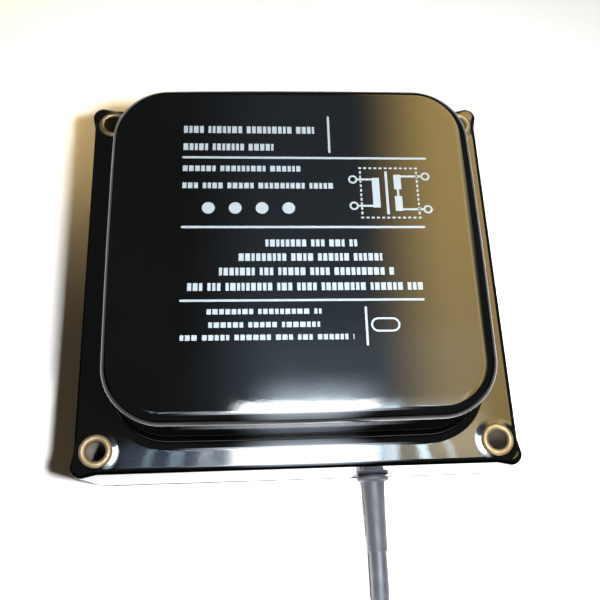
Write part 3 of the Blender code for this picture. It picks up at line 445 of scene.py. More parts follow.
def striped_wire():
    """Earth core: green, with a yellow stripe down each side."""
    made, tree, shader = new_material("green_yellow_wire", (0.05, 0.30, 0.05), 0.38)
    turn = maths(tree, "FRACT", product(tree, axes(tree, length_map(tree))["X"], 2.0))
    stripe = maths(tree, "LESS_THAN", turn, 0.45)
    tree.links.new(mixed(tree, stripe, (0.05, 0.28, 0.05), (0.75, 0.60, 0.04)),
                   shader.inputs["Base Color"])
    bump(tree, shader, product(tree, noise(tree, place(tree), 1800.0, 2.0), 0.000004))
    return made


def ink():
    """Screen-printed white: slightly uneven, thin in places."""
    full = (0.18, 0.22, 0.25)
    made, tree, shader = new_material("white_print", full, 0.45)
    where = place(tree)
    thin = spread(tree, noise(tree, where, 700.0, 4.0, 0.7), 0.55, 0.80)
    tree.links.new(mixed(tree, thin, full, (0.12, 0.145, 0.165)), shader.inputs["Base Color"])
    tree.links.new(spread(tree, noise(tree, where, 400.0, 2.0), 0.3, 0.8, 0.35, 0.6),
                   shader.inputs["Roughness"])
    bump(tree, shader, product(tree, noise(tree, where, 2500.0, 2.0), 0.000004))
    return made


MATERIALS = {
    "black_enamel": enamel(),
    "eyelet_brass": brass("eyelet_brass", (0.205, 0.155, 0.08), 0.5, LEDGE_HEIGHT - 1.0 * MM),
    "stud_brass": brass("stud_brass", (0.72, 0.50, 0.20)),
    "core_steel": plated("core_steel", (0.30, 0.30, 0.32), 0.45),
    "zinc_steel": plated("zinc_steel", (0.62, 0.62, 0.58), 0.30),
    "tinned_copper": plated("tinned_copper", (0.70, 0.69, 0.66), 0.28),
    "bobbin_plastic": plastic("bobbin_plastic", (0.72, 0.69, 0.58), 0.5),
    "enamelled_copper": copper_wire(),
    "potting_compound": plastic("potting_compound", (0.016, 0.015, 0.013), 0.5, 0.00002, 400.0),
    "base_board": laminate(),
    "white_porcelain": porcelain(),
    "grommet_rubber": plastic("grommet_rubber", (0.026, 0.028, 0.033), 0.5, 0.000008, 1200.0),
    "lead_pvc": sheath(),
    "high_voltage_wire": plastic("high_voltage_wire", (0.42, 0.03, 0.02), 0.38),
    "brown_wire": plastic("brown_wire", (0.13, 0.05, 0.018), 0.36),
    "blue_wire": plastic("blue_wire", (0.02, 0.10, 0.42), 0.36),
    "green_yellow_wire": striped_wire(),
    "white_print": ink(),
}


# Mesh helpers
def finish_piece(name, bm, slot, smooth=True, angle=40.0):
    """An object made of the bmesh; edges sharper than the angle stay sharp."""
    mesh = bpy.data.meshes.new(name)
    bm.to_mesh(mesh)
    bm.free()
    made = bpy.data.objects.new(name, mesh)
    bpy.context.scene.collection.objects.link(made)
    mesh.materials.append(MATERIALS[slot])
    if smooth:
        mesh.shade_smooth()
        mesh.set_sharp_from_angle(angle=math.radians(angle))
    return made


def own(piece, slot, *nodes):
    """Puts a piece on the part's only body and hides the nodes it stands for; slot is not used.
    """
    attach(piece, "root")
    if nodes:
        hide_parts(*nodes)


def band(bm, first, second):
    """Faces between two closed loops of vertices."""
    count = len(first)
    for index in range(count):
        after = (index + 1) % count
        bm.faces.new((first[index], first[after], second[after], second[index]))


def turned(name, profile, centre, slot, sides=64):
    """Turns a closed loop of (radius, height) points round the vertical through centre."""
    bm = bmesh.new()
    rows = []
    for step in range(sides):
        angle = step / sides * math.tau
        rows.append([bm.verts.new((centre[0] + radius * math.cos(angle),
                                   centre[1] + radius * math.sin(angle), centre[2] + height))
                     for radius, height in profile])
    for step in range(sides):
        band(bm, rows[step], rows[(step + 1) % sides])
    bmesh.ops.recalc_face_normals(bm, faces=bm.faces)
    return finish_piece(name, bm, slot)


def arc(centre, radius, start, end, steps):
    """Points of a circle's arc, angles in degrees."""
    return [(centre[0] + radius * math.cos(math.radians(start + (end - start) * step / steps)),
             centre[1] + radius * math.sin(math.radians(start + (end - start) * step / steps)))
            for step in range(steps + 1)]


def smoothed(points, spacing):
    """Evenly spaced points read from a Catmull-Rom curve through a route's own points."""
    route = [Vector(point) for point in points]
    ends = [route[0] * 2 - route[1]] + route + [route[-1] * 2 - route[-2]]
    fine = []
    for a, b, c, d in zip(ends, ends[1:], ends[2:], ends[3:]):
        for step in range(CURVE_STEPS):
            t = step / CURVE_STEPS
            fine.append(0.5 * (2 * b + (c - a) * t + (2 * a - 5 * b + 4 * c - d) * t ** 2
                               + (3 * b - a - 3 * c + d) * t ** 3))
    fine.append(route[-1])
    total = sum((q - p).length for p, q in zip(fine, fine[1:]))
    count = max(2, round(total / spacing))
    read = [fine[0]]
    walked = 0.0
    for p, q in zip(fine, fine[1:]):
        walked += (q - p).length
        if walked >= len(read) * total / count and len(read) < count:
            read.append(q)
    return read + [fine[-1]]


def tube(name, points, radius, slot, sides):
    """A closed round tube along points, with a UV map of turn and metres along it."""
    bm = bmesh.new()
    layer = bm.loops.layers.uv.new("along")
    up = Vector((0, 0, 1))
    rows = []
    metres = [0.0]
    for index, point in enumerate(points):
        before = points[max(index - 1, 0)]
        after = points[min(index + 1, len(points) - 1)]
        ahead = (after - before).normalized()
        side = ahead.cross(up).normalized()
        top = side.cross(ahead)
        rows.append([bm.verts.new(point + radius * (math.cos(turn) * side + math.sin(turn) * top))
                     for turn in (step / sides * math.tau for step in range(sides))])
        if index:
            metres.append(metres[-1] + (point - points[index - 1]).length)
    for index in range(len(rows) - 1):
        for step in range(sides):
            after = (step + 1) % sides
            face = bm.faces.new((rows[index][step], rows[index][after], rows[index + 1][after],
                                 rows[index + 1][step]))
            turns = (step / sides, (step + 1) / sides, (step + 1) / sides, step / sides)
            lengths = (metres[index], metres[index], metres[index + 1], metres[index + 1])
            for loop, turn, length in zip(face.loops, turns, lengths):
                loop[layer].uv = (turn, length)
    bm.faces.new(rows[0])
    bm.faces.new(list(reversed(rows[-1])))
    bmesh.ops.recalc_face_normals(bm, faces=bm.faces)
    return finish_piece(name, bm, slot, angle=60.0)


def bake(piece, cutters):
    """Applies the piece's modifiers and removes the cutters."""
    graph = bpy.context.evaluated_depsgraph_get()
    mesh = bpy.data.meshes.new_from_object(piece.evaluated_get(graph))
    piece.modifiers.clear()
    piece.data = mesh
    for cutter in cutters:
        bpy.data.objects.remove(cutter, do_unlink=True)


# Lead: sleeve, slope to the floor, flat coil and stripped ends
def lead_route():
    """The part's own route, then the coil's turns from the outside in."""
    fixed = [(-77.3, 5.3), (-80.5, 5.3), (-83.3, 5.3), (-88.9, 4.7), (-95.9, 3.38),
             (-102.9, 2.9), (-115.64, 2.9), (-125.0, 2.9)]
    route = [Vector((LEAD_X, y * MM, z * MM)) for y, z in fixed]
    for step in range(COIL_TURNS * TURN_POINTS + 1):
        turn = step / TURN_POINTS
        angle = -turn * math.tau
        radius = COIL_OUTER_TURN - COIL_PITCH * turn
        route.append(Vector((COIL_X + radius * math.cos(angle),
                             COIL_Y + radius * math.sin(angle), LEAD_LOW)))
    return route


def end_wire_route(index):
    """The part's own route of a stripped end, as an arc in the coil's hole."""
    spacing = (2 * FERRULE_RADIUS + 2 * GAP) / (1 - END_WIRE_CURL)
    first = COIL_HOLE - GAP - WIRE_RADIUS - index * spacing
    turn = END_WIRE_LENGTH / COIL_HOLE
    route = []
    for share in [step / END_WIRE_STEPS for step in range(END_WIRE_STEPS + 1)]:
        radius = first * (1 - END_WIRE_CURL * share ** 2)
        route.append(Vector((COIL_X + radius * math.cos(turn * share),
                             COIL_Y - radius * math.sin(turn * share), FERRULE_RADIUS + GAP)))
    return route


def build_lead():
    """The lead, its stripped cores and the other pieces that go with it."""
    points = smoothed(lead_route(), 1.6 * MM)
    lead = tube("lead", points, LEAD_RADIUS, "lead_pvc", 28)
    own(lead, "lead_pvc", "supply_lead", "supply_lead_coil")
    cores = []
    for index, (name, slot, across, up) in enumerate(CORES):
        start = points[-1] + Vector((across * MM, 0.6 * MM, up * CORE_REACH))
        route = [start, start + Vector((0, -3.0 * MM, -0.2 * MM))] + end_wire_route(index)[4:]
        core = tube("stripped_core_" + name, smoothed(route, 0.7 * MM), WIRE_RADIUS, slot, 16)
        own(core, slot, "end_wire_" + name)
        cores.append(core)
    with_pieces = cores + [NODES["ferrule_" + core[0]] for core in CORES]
    with_pieces += [build_grommet(), build_tie()]


def build_grommet():
    """Sleeve, lips and neck, turned round the lead's own axis."""
    profile = [(SLEEVE_BORE, 1.0 * MM), (SLEEVE_BORE, SLEEVE_LENGTH)]
    profile += arc((2.75 * MM, 21.3 * MM), 0.15 * MM, 120, 0, 5)
    profile += [(3.1 * MM, 10.0 * MM), (3.25 * MM, 5.0 * MM), (3.35 * MM, 3.2 * MM)]
    profile += arc((4.1 * MM, 2.2 * MM), 0.7 * MM, 180, 260, 7)
    profile += arc((LIP_RADIUS, 1.1 * MM), LIP_ROUND, 90, 0, 7)
    profile += arc((LIP_RADIUS, 0.7 * MM), LIP_ROUND, 0, -90, 7)
    profile += [(NECK_RADIUS, 0.3 * MM), (NECK_RADIUS, -1.5 * MM)]
    profile += arc((LIP_RADIUS, -1.9 * MM), LIP_ROUND, 90, 0, 5)
    profile += arc((LIP_RADIUS, -2.3 * MM), LIP_ROUND, 0, -90, 5)
    profile += [(SLEEVE_BORE, -2.7 * MM)]
    grommet = turned("strain_relief", profile, (0, 0, 0), "grommet_rubber", 48)
    stand = (Matrix.Translation((LEAD_X, -SKIRT_Y, LEAD_HEIGHT))
             @ Matrix.Rotation(math.pi / 2, 4, "X"))
    grommet.data.transform(stand)
    own(grommet, "grommet_rubber", "lead_grommet")
    return grommet


def build_tie():
    """A thin closed strap round both turns of the coil."""
    middle = COIL_OUTER_TURN - COIL_TURNS * COIL_PITCH / 2
    outwards = Vector((math.cos(TIE_ANGLE), math.sin(TIE_ANGLE), 0))
    centre = Vector((COIL_X, COIL_Y, LEAD_LOW)) + outwards * middle
    half = COIL_PITCH * COIL_TURNS / 2 + TIE_SLACK_ACROSS
    rise = LEAD_RADIUS + TIE_SLACK_UP
    loop = arc((half - rise, 0), rise, -90, 90, 10) + arc((rise - half, 0), rise, 90, 270, 10)
    along = Vector((-outwards.y, outwards.x, 0))
    bm = bmesh.new()
    rows = []
    for share, thick in ((-1, 0.0), (-1, TIE_THICK), (1, TIE_THICK), (1, 0.0)):
        row = []
        for across, up in loop:
            out = Vector((across, up)).normalized() * thick
            spot = centre + outwards * (across + out.x) + Vector((0, 0, up + out.y))
            row.append(bm.verts.new(spot + along * share * TIE_HALF_WIDTH))
        rows.append(row)
    for index in range(len(rows)):
        band(bm, rows[index], rows[(index + 1) % len(rows)])
    bmesh.ops.recalc_face_normals(bm, faces=bm.faces)
    strap = finish_piece("coil_tie", bm, "lead_pvc")
    own(strap, "lead_pvc")
    return strap


# Can
def rounded_rectangle(half_x, half_y, corner, steps):
    loop = []
    for quarter, (sx, sy) in enumerate(((1, 1), (-1, 1), (-1, -1), (1, -1))):
        for step in range(steps + 1):
            angle = (quarter + step / steps) * math.pi / 2
            loop.append((sx * (half_x - corner) + corner * math.cos(angle),
                         sy * (half_y - corner) + corner * math.sin(angle)))
    return loop


def can_outline(half_x, half_y, corner, bow, ear):
    """Rounded rectangle with bowed sides and corners that stand out a little."""
    shifted = rounded_rectangle(half_x + ear, half_y + ear, corner, CORNER_STEPS)
    per_corner = CORNER_STEPS + 1
    reach_x = half_x - corner - EAR_LENGTH
    reach_y = half_y - corner - EAR_LENGTH
    loop = []
    for quarter in range(4):
        loop += shifted[quarter * per_corner:(quarter + 1) * per_corner]
        for step in range(SIDE_POINTS):
            share = 1 - 2 * step / (SIDE_POINTS - 1)
            side = ((share * reach_x, half_y), (-half_x, share * reach_y),
                    (-share * reach_x, -half_y), (half_x, -share * reach_y))[quarter]
            loop.append(side)
    return [(x - bow * (x / half_x) * (y / half_y) ** 2,
             y - bow * (y / half_y) * (x / half_x) ** 2) for x, y in loop]


def can_rings():
    """Rings of the can's outer surface, from the dome's top to the rim."""
    rings = []
    for step in range(FILLET_STEPS + 1):
        angle = (1 - step / FILLET_STEPS) * math.pi / 2
        out = DOME_EDGE * (math.cos(angle) - 1)
        rings.append((DOME_X + out, DOME_Y + out, DOME_CORNER + out,
                      DOME_TOP - DOME_EDGE * (1 - math.sin(angle)), DOME_BOW, 0.0))
    for step in range(BEND_STEPS + 1):
        angle = step / BEND_STEPS * math.pi / 2
        out = DOME_FOOT * (1 - math.cos(angle))
        fade = 1 - step / BEND_STEPS / 2
        rings.append((DOME_X + out, DOME_Y + out, DOME_CORNER + out,
                      LEDGE_HEIGHT + DOME_FOOT * (1 - math.sin(angle)), DOME_BOW * fade, 0.0))
    for step in range(BEND_STEPS + 1):
        angle = (1 - step / BEND_STEPS) * math.pi / 2
        out = LEDGE_BEND * (math.cos(angle) - 1)
        rings.append((SKIRT_X + out, SKIRT_Y + out, SKIRT_CORNER + out,
                      LEDGE_HEIGHT - LEDGE_BEND * (1 - math.sin(angle)), 0.0, CORNER_EAR))
    for step in range(RIM_STEPS + 1):
        angle = step / RIM_STEPS * math.pi / 2
        out = RIM_ROUND * (math.cos(angle) - 1)
        rings.append((SKIRT_X + out, SKIRT_Y + out, SKIRT_CORNER + out,
                      RIM_ROUND * (1 - math.sin(angle)), 0.0, 0.0))
    return rings


def eyelet_cutter(x, y):
    """The eyelet's hole in the ledge."""
    radius = EYELET_TUBE + GAP
    low = LEDGE_HEIGHT - 4 * SHEET
    high = LEDGE_HEIGHT + SHEET
    bm = bmesh.new()
    bmesh.ops.create_cone(bm, cap_ends=True, segments=48, radius1=radius, radius2=radius,
                          depth=high - low, matrix=Matrix.Translation((x, y, (low + high) / 2)))
    return finish_piece("cutter", bm, "black_enamel")


def notch_cutter():
    """The arch in the rim that the lead's grommet sits in."""
    outline = [(-NOTCH_RADIUS, -SHEET), (NOTCH_RADIUS, -SHEET)]
    outline += arc((0, LEAD_HEIGHT), NOTCH_RADIUS, 0, 180, 24)
    bm = bmesh.new()
    rows = []
    for y in (-SKIRT_Y - 2 * SHEET, -SKIRT_Y + 2 * SHEET):
        rows.append([bm.verts.new((LEAD_X + x, y, z)) for x, z in outline])
    bm.faces.new(rows[0])
    bm.faces.new(list(reversed(rows[1])))
    band(bm, rows[1], rows[0])
    bmesh.ops.recalc_face_normals(bm, faces=bm.faces)
    return finish_piece("cutter", bm, "black_enamel")


def corners():
    """Name and signs of x and y of each corner of the ledge."""
    for side, sx in (("left", -1), ("right", 1)):
        for end, sy in (("front", -1), ("rear", 1)):
            yield end + "_" + side, sx, sy


def build_can():
    bm = bmesh.new()
    rows = []
    for half_x, half_y, corner, height, bow, ear in can_rings():
        rows.append([bm.verts.new((x, y, height))
                     for x, y in can_outline(half_x, half_y, corner, bow, ear)])
    for inner, outer in zip(rows, rows[1:]):
        count = len(inner)
        for index in range(count):
            after = (index + 1) % count
            bm.faces.new((inner[index], outer[index], outer[after], inner[after]))
    bm.faces.new(rows[0])
    can = finish_piece("can", bm, "black_enamel", angle=50.0)
    wall = can.modifiers.new("sheet", "SOLIDIFY")
    wall.thickness = SHEET
    wall.offset = -1
    wall.use_even_offset = True
    cutters = [notch_cutter()]
    for name, sx, sy in corners():
        cutters.append(eyelet_cutter(sx * EYELET_X, sy * EYELET_Y))
    for cutter in cutters:
        cut = can.modifiers.new("cut", "BOOLEAN")
        cut.object = cutter
        cut.solver = "EXACT"
    flat = can.modifiers.new("flats", "WEIGHTED_NORMAL")
    flat.mode = "FACE_AREA_WITH_ANGLE"
    flat.weight = 80
    flat.keep_sharp = True
    bake(can, cutters)
    level_flats(can.data)
    own(can, "black_enamel", "housing")


def level_flats(mesh):
    """Level faces get their own normal at each corner, so that they mirror without a bend."""
    upright = 0.9999
    normals = [tuple(corner.vector) for corner in mesh.corner_normals]
    for face in mesh.polygons:
        if abs(face.normal.z) > upright:
            for loop in face.loop_indices:
                normals[loop] = tuple(face.normal)
    mesh.normals_split_custom_set(normals)


# Eyelets
def build_eyelets():
    """Long tubular rivets: a rolled head on the ledge, a tube, and an edge rolled over below."""
    top = EYELET_SEAT + EYELET_ROLL
    roll = (EYELET_HEAD - EYELET_BORE) / 2
    flatness = 0.9
    crown = [(radius, top - roll * flatness + (height - top) * flatness)
             for radius, height in arc((EYELET_BORE + roll, top), roll, 0, 180, 18)]
    foot = BOARD_FACE - GAP
    tube_end = [(EYELET_BORE, foot - EYELET_ROLL)]
    rolled = arc((EYELET_BORE + 0.8 * MM, foot - 0.35 * MM), 0.55 * MM, 250, 320, 5)
    outside = [(EYELET_HEAD - 0.1 * MM, foot - 0.6 * EYELET_ROLL),
               (EYELET_HEAD - 0.25 * MM, foot), (EYELET_TUBE, foot),
               (EYELET_TUBE, EYELET_SEAT), (EYELET_HEAD - 0.2 * MM, EYELET_SEAT)]
    for name, sx, sy in corners():
        eyelet = turned("rolled_eyelet_" + name, crown + tube_end + rolled + outside,
                        (sx * EYELET_X, sy * EYELET_Y, 0), "eyelet_brass")
        own(eyelet, "eyelet_brass", "eyelet_" + name)


# Print on the dome's top; the places that follow are in millimetres from the top's middle
INK = 0.03 * MM
PRINT_TURN = math.radians(-0.6)
# Left, right, height on the panel, thickness
RULES = ((-30.8, 36.2, 24.6, 0.65), (-30.6, 34.2, 3.7, 0.65), (-30.4, 32.2, -16.8, 0.6))
# Place across, low end, high end, thickness
POSTS = ((9.4, 26.2, 38.0, 0.6), (16.8, -29.0, -18.6, 0.6))
# Left, right, height on the panel, height of the blocks, seed of their widths
BLOCK_ROWS = (
    (-30.5, 5.4, 33.4, 2.2, 3), (-30.5, -6.0, 27.9, 2.1, 7), (-30.5, 2.0, 21.2, 1.7, 11),
    (-30.5, 10.2, 16.0, 1.7, 14), (-8.5, 16.0, -0.9, 2.0, 19), (-15.5, 22.0, -4.9, 2.1, 23),
    (-20.5, 25.5, -8.9, 2.1, 29), (-28.5, 32.0, -13.1, 2.1, 31), (-23.5, 5.5, -19.8, 1.4, 37),
    (-23.0, 5.0, -23.3, 1.4, 41), (-30.0, 13.5, -26.6, 1.4, 43))
BLOCKS_IN_RUN = (3, 9)
BLOCK_WIDTHS = (0.75, 1.35)
BLOCK_GAP = 0.38
RUN_GAP = 0.9
LEAST_BLOCK = 0.5
DISCS = 4
DISC_START = (-23.5, 9.3)
DISC_PITCH = 7.1
DISC_RADIUS = 1.7


class Print:
    """Flat shapes of ink on the dome's top, in millimetres from its middle."""

    def __init__(self):
        self.bm = bmesh.new()

    def ring_of_points(self, points):
        """Two loops of vertices, on the dome and on the ink's face."""
        turn = Matrix.Rotation(PRINT_TURN, 2)
        flat = [turn @ Vector(point) * MM for point in points]
        return [[self.bm.verts.new((x, y, DOME_TOP + height)) for x, y in flat]
                for height in (0.0, INK)]

    def shape(self, outline, hole=None):
        low, high = self.ring_of_points(outline)
        band(self.bm, low, high)
        if hole is None:
            self.bm.faces.new(high)
            return
        hole_low, hole_high = self.ring_of_points(hole)
        band(self.bm, high, hole_high)
        band(self.bm, hole_high, hole_low)

    def rule(self, left, right, y, thickness):
        """A level line with round ends."""
        half = thickness / 2
        self.shape(arc((right - half, y), half, -90, 90, 6)
                   + arc((left + half, y), half, 90, 270, 6))

    def post(self, x, low, high, thickness):
        """An upright line with round ends."""
        half = thickness / 2
        self.shape(arc((x, high - half), half, 0, 180, 6)
                   + arc((x, low + half), half, 180, 360, 6))

    def block(self, left, right, low, high):
        self.shape([(left, low), (right, low), (right, high), (left, high)])

    def disc(self, x, y, radius):
        self.shape(arc((x, y), radius, 0, 350, 35))

    def ring(self, x, y, radius, line):
        self.shape(arc((x, y), radius, 0, 350, 35), arc((x, y), radius - line, 0, 350, 35))

    def long_ring(self, left, right, y, radius, line):
        """A ring drawn out sideways, between two centres."""
        outline, hole = (arc((right, y), size, -90, 90, 12) + arc((left, y), size, 90, 270, 12)
                         for size in (radius, radius - line))
        self.shape(outline, hole)


def row_of_blocks(sheet, left, right, y, height, seed):
    """A row of plain upright blocks in runs of a few, with a wider gap between runs."""
    draw = random.Random(seed)
    x = left
    run = 0
    while x < right - LEAST_BLOCK:
        if run == 0:
            run = draw.randint(*BLOCKS_IN_RUN)
            x += RUN_GAP if x > left else 0.0
        width = min(draw.uniform(*BLOCK_WIDTHS), right - x)
        sheet.block(x, x + width, y - height / 2, y + height / 2)
        x += width + BLOCK_GAP
        run -= 1


def winding_diagram(sheet):
    """A made-up winding plan: a dotted frame, three windings, a core and four terminals."""
    left, right, low, high = 17.5, 33.0, 6.5, 21.5
    dots = 11
    dot, line, wire = 0.4, 0.25, 0.3
    for step in range(dots + 1):
        x = left + (right - left) * step / dots
        for y in (high, low):
            sheet.block(x - dot, x + dot, y - line, y + line)
    for step in range(1, dots):
        y = low + (high - low) * step / dots
        for x in (left, right):
            sheet.block(x - line, x + line, y - dot, y + dot)
    primary = (20.6, 22.6, 9.5, 18.5)
    core = (24.2, 24.9, 7.5, 20.5)
    upper_half = (26.6, 28.6, 15.0, 19.5)
    lower_half = (26.6, 28.6, 8.5, 13.0)
    joint = (27.3, 27.9, 13.0, 15.0)
    for box in (primary, core, upper_half, lower_half, joint):
        sheet.block(*box)
    for wire_left, wire_right, terminal, heights in ((16.6, 20.6, 15.4, (18.0, 10.0)),
                                                     (28.6, 34.2, 35.4, (19.0, 9.0))):
        for y in heights:
            sheet.block(wire_left, wire_right, y - wire, y + wire)
            sheet.ring(terminal, y, 1.25, 0.5)


def build_print():
    sheet = Print()
    for rule in RULES:
        sheet.rule(*rule)
    for post in POSTS:
        sheet.post(*post)
    for row in BLOCK_ROWS:
        row_of_blocks(sheet, *row)
    for index in range(DISCS):
        sheet.disc(DISC_START[0] + DISC_PITCH * index, DISC_START[1], DISC_RADIUS)
    winding_diagram(sheet)
    sheet.long_ring(19.8, 23.5, -23.5, 1.9, 0.5)
    bmesh.ops.recalc_face_normals(sheet.bm, faces=sheet.bm.faces)
    panel = finish_piece("panel_print", sheet.bm, "white_print", smooth=False)
    own(panel, "white_print")


# CAD nodes that stay get the record's slot materials
def dress_nodes():
    for entry in frame["record"]["subparts"]:
        node = NODES[entry["node"]]
        if not node.hide_render:
            node.data.materials.clear()
            node.data.materials.append(MATERIALS[entry["material_slot"]])


# Studio
FLOOR_HALF = 3.0
FLOOR_GLOW = 0.80
FLOOR_GLOW_FROM = 0.16
FLOOR_GLOW_FULL = 0.55
# Distance of the cards from the camera's mirror image, and the height of that image, which
# lies between the one in the dome's top and the one in the ledge
CARD_REACH = 1.34
MIRROR_HEIGHT = -0.14


def make_floor():
    """Plain white; away from the part it glows a little, so that it stays pale."""
    mesh = bpy.data.meshes.new("floor")
    half = FLOOR_HALF
    mesh.from_pydata([(-half, -half, 0), (half, -half, 0), (half, half, 0), (-half, half, 0)], [],
                     [(0, 1, 2, 3)])
    floor = bpy.data.objects.new("floor", mesh)
    bpy.context.scene.collection.objects.link(floor)
    made, tree, shader = new_material("floor", (0.80, 0.80, 0.80), 0.8)
    shader.inputs["Specular IOR Level"].default_value = 0.0
    shader.inputs["Emission Color"].default_value = (1.0, 1.0, 1.0, 1.0)
    away = tree.nodes.new("ShaderNodeVectorMath")
    away.operation = "LENGTH"
    tree.links.new(place(tree), away.inputs[0])
    tree.links.new(spread(tree, away.outputs["Value"], FLOOR_GLOW_FROM, FLOOR_GLOW_FULL,
                          0.0, FLOOR_GLOW), shader.inputs["Emission Strength"])
    mesh.materials.append(made)


def eased(distance, width):
    """Nought at no distance, one from width on, with a soft start and end."""
    part = min(1.0, distance / width)
    return part * part * (3 - 2 * part)


def level_at(levels, ratio):
    """Brightness read between the given (direction, brightness) pairs; one without any."""
    if not levels:
        return 1.0
    for (first, start), (second, end) in zip(levels, levels[1:]):
        if ratio <= second:
            share = max(0.0, (ratio - first) / (second - first))
            return start + (end - start) * share
    return levels[-1][1]


def glow_material(name, radiance):
    """Adds light to what shows through; the mesh's glow attribute scales it."""
    made = bpy.data.materials.new(name)
    made.use_nodes = True
    tree = made.node_tree
    tree.nodes.clear()
    value = tree.nodes.new("ShaderNodeAttribute")
    value.attribute_name = "glow"
    lamp = tree.nodes.new("ShaderNodeEmission")
    strength = max(radiance)
    lamp.inputs["Color"].default_value = (*(part / strength for part in radiance), 1.0)
    tree.links.new(product(tree, value.outputs["Fac"], strength), lamp.inputs["Strength"])
    clear = tree.nodes.new("ShaderNodeBsdfTransparent")
    both = tree.nodes.new("ShaderNodeAddShader")
    tree.links.new(lamp.outputs["Emission"], both.inputs[0])
    tree.links.new(clear.outputs["BSDF"], both.inputs[1])
    out = tree.nodes.new("ShaderNodeOutputMaterial")
    tree.links.new(both.outputs["Shader"], out.inputs["Surface"])
    return made


def card(name, across, along, radiance, soft, levels=(), lean=0.0, mirrored=True):
    """A glowing sheet, bent round the camera's image in the can's top.

    across and along are the directions, x and y over height, in which the top mirrors it;
    soft is the width of its fading edges in the two directions, levels give its brightness at
    some of the directions along it, and lean moves its far end across. It is either mirrored
    or lights what is dull.
    """
    low, high = (math.atan(ratio) for ratio in along)
    left, right = across
    spots, glow, faces = [], [], []
    for row in range(CARD_ROWS + 1):
        angle = low + (high - low) * row / CARD_ROWS
        level = level_at(levels, math.tan(angle))
        ends = eased(angle - low, soft[1]) * eased(high - angle, soft[1])
        for column in range(CARD_COLUMNS + 1):
            x = left + (right - left) * column / CARD_COLUMNS
            spots.append((CAMERA_PLACE[0] + (x + lean * row / CARD_ROWS) * CARD_REACH,
                          CAMERA_PLACE[1] + CARD_REACH * math.sin(angle),
                          MIRROR_HEIGHT + CARD_REACH * math.cos(angle)))
            sides = eased(x - left, soft[0]) * eased(right - x, soft[0])
            glow.append(level * sides * ends)
    for row in range(CARD_ROWS):
        for column in range(CARD_COLUMNS):
            first = row * (CARD_COLUMNS + 1) + column
            faces.append((first, first + CARD_COLUMNS + 1, first + CARD_COLUMNS + 2, first + 1))
    mesh = bpy.data.meshes.new(name)
    mesh.from_pydata(spots, [], faces)
    mesh.attributes.new("glow", "FLOAT", "POINT").data.foreach_set("value", glow)
    mesh.materials.append(glow_material(name, radiance))
    made = bpy.data.objects.new(name, mesh)
    bpy.context.scene.collection.objects.link(made)
    made.visible_glossy = mirrored
    made.visible_diffuse = not mirrored
    made.visible_camera = False
    made.visible_shadow = False


def lamp_light(name, spot, aim, size, spread_angle, colour, energy):
    """A round lamp that lights the floor and is mirrored nowhere."""
    lamp = bpy.data.lights.new(name, "AREA")
    lamp.shape = "DISK"
    lamp.size = size
    lamp.spread = math.radians(spread_angle)
    lamp.color = colour
    lamp.energy = energy
    made = bpy.data.objects.new(name, lamp)
    made.location = spot
    made.rotation_euler = (Vector(aim) - Vector(spot)).to_track_quat("-Z", "Y").to_euler()
    made.visible_glossy = False
    made.visible_camera = False
    bpy.context.scene.collection.objects.link(made)


def make_lamps():
    """A near lamp that draws the shadow, a warm pool in it, and a fill for the front."""
    lamp_light("key", (0.058, -0.088, 0.26), (0.0, -0.03, 0.0), size=0.030, spread_angle=180.0,
               colour=(1.0, 1.0, 1.0), energy=2.0)
    lamp_light("warm_pool", (-0.12, 0.5, 0.9), (-0.08, 0.098, 0), size=0.10, spread_angle=6.0,
               colour=(1.0, 0.70, 0.30), energy=0.020)
    lamp_light("front_fill", (0.01, -0.45, 0.35), (0.025, -0.09, 0), size=0.06, spread_angle=9.0,
               colour=(0.95, 0.97, 1.0), energy=0.04)


def make_window_cards():
    """The bright window over the can's front, with its tail towards the viewer and its haze."""
    card("main", (-0.055, 0.165), (-0.05, 0.210), (40.0, 41.0, 42.0), (0.03, 0.010), lean=0.02)
    card("main_shoulder", (0.13, 0.208), (-0.03, 0.21), (14.0, 17.0, 20.0), (0.014, 0.02))
    card("main_tail", (-0.04, 0.19), (-6.0, 0.03), (11.0, 12.5, 14.0), (0.09, 0.05),
         levels=((-6.0, 0.3), (-1.6, 0.45), (-0.65, 0.65), (-0.4, 0.9), (-0.15, 1.0)))
    card("near_tail", (-0.12, 0.24), (-0.35, -0.01), (14.0, 15.5, 17.0), (0.12, 0.06))
    card("main_haze", (-0.02, 0.20), (0.19, 0.32), (9.5, 11.0, 12.5), (0.08, 0.015),
         levels=((0.206, 1.0), (0.213, 0.75), (0.224, 0.45), (0.236, 0.17), (0.25, 0.03),
                 (0.3, 0.0)))
    card("far_haze", (-0.10, 0.42), (0.17, 0.95), (0.8, 1.1, 1.4), (0.15, 0.03),
         levels=((0.285, 1.0), (0.33, 0.6), (0.5, 0.35), (0.9, 0.2)))


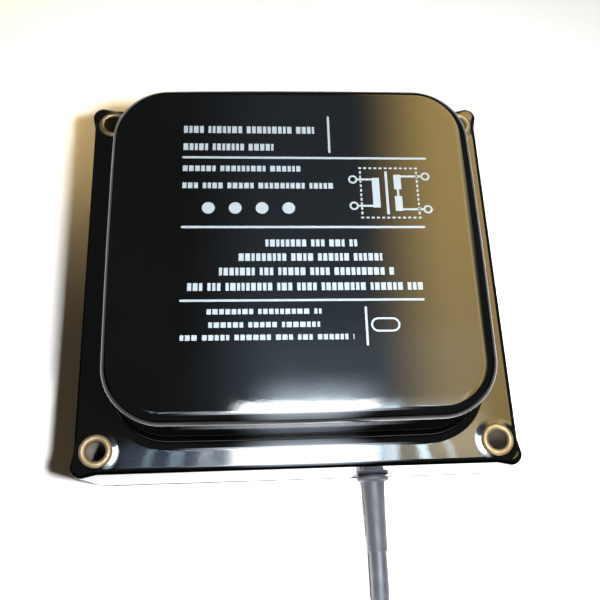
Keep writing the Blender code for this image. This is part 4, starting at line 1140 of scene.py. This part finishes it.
def make_side_cards():
    """Dimmer window panes and their bars, left and right of the bright window."""
    left_along = (-0.06, 0.168)
    card("left_glow", (-0.20, -0.02), left_along, (0.9, 1.2, 1.7), (0.03, 0.025))
    card("left_near_glow", (-0.14, 0.01), left_along, (9.0, 10.5, 12.0), (0.09, 0.025), lean=0.04)
    for name, across, radiance, edge in (
            ("left_far_bar", (-0.1874, -0.1688), (3.4, 4.9, 5.6), 0.008),
            ("left_bar", (-0.152, -0.1236), (5.4, 7.2, 8.8), 0.010),
            ("left_near_bar", (-0.1115, -0.0852), (6.2, 7.2, 8.2), 0.009)):
        card(name, across, left_along, radiance, (edge, 0.025), lean=0.04)
    card("right_glow", (0.17, 0.35), (0.03, 0.215), (4.3, 4.3, 3.8), (0.04, 0.03))
    for name, across, radiance, edge in (
            ("right_bar", (0.2505, 0.2728), (14.0, 20.0, 23.0), 0.009),
            ("right_far_bar", (0.2900, 0.3086), (4.2, 6.6, 8.4), 0.008)):
        card(name, across, (0.03, 0.20), radiance, (edge, 0.03), lean=-0.04)


def make_room_cards():
    """The warm wall at the right, and a faint light from all round."""
    growing = ((0.2, 0.75), (0.5, 1.0))
    card("warm", (0.17, 0.55), (0.09, 1.4), (6.9, 4.6, 1.3), (0.13, 0.05), growing, -0.06)
    card("warm_side", (0.36, 0.60), (0.10, 1.4), (5.6, 4.7, 2.8), (0.13, 0.05), growing)
    everywhere = (-3.0, 3.0)
    card("room", everywhere, everywhere, (0.08, 0.058, 0.033), (0.5, 0.2), mirrored=False)
    card("veil", everywhere, everywhere, (0.13, 0.14, 0.14), (0.5, 0.2))


def make_world():
    """A pale backdrop that lights nothing and is mirrored nowhere."""
    world = bpy.data.worlds.new("studio")
    bpy.context.scene.world = world
    world.use_nodes = True
    backdrop = world.node_tree.nodes["Background"]
    backdrop.inputs["Color"].default_value = (0.95, 0.96, 0.97, 1.0)
    backdrop.inputs["Strength"].default_value = 0.75
    world.cycles_visibility.diffuse = False
    world.cycles_visibility.glossy = False
    bpy.context.scene.view_settings.view_transform = "Standard"


make_camera()
build_lead()
build_can()
build_eyelets()
build_print()
dress_nodes()
make_floor()
make_lamps()
make_window_cards()
make_side_cards()
make_room_cards()
make_world()
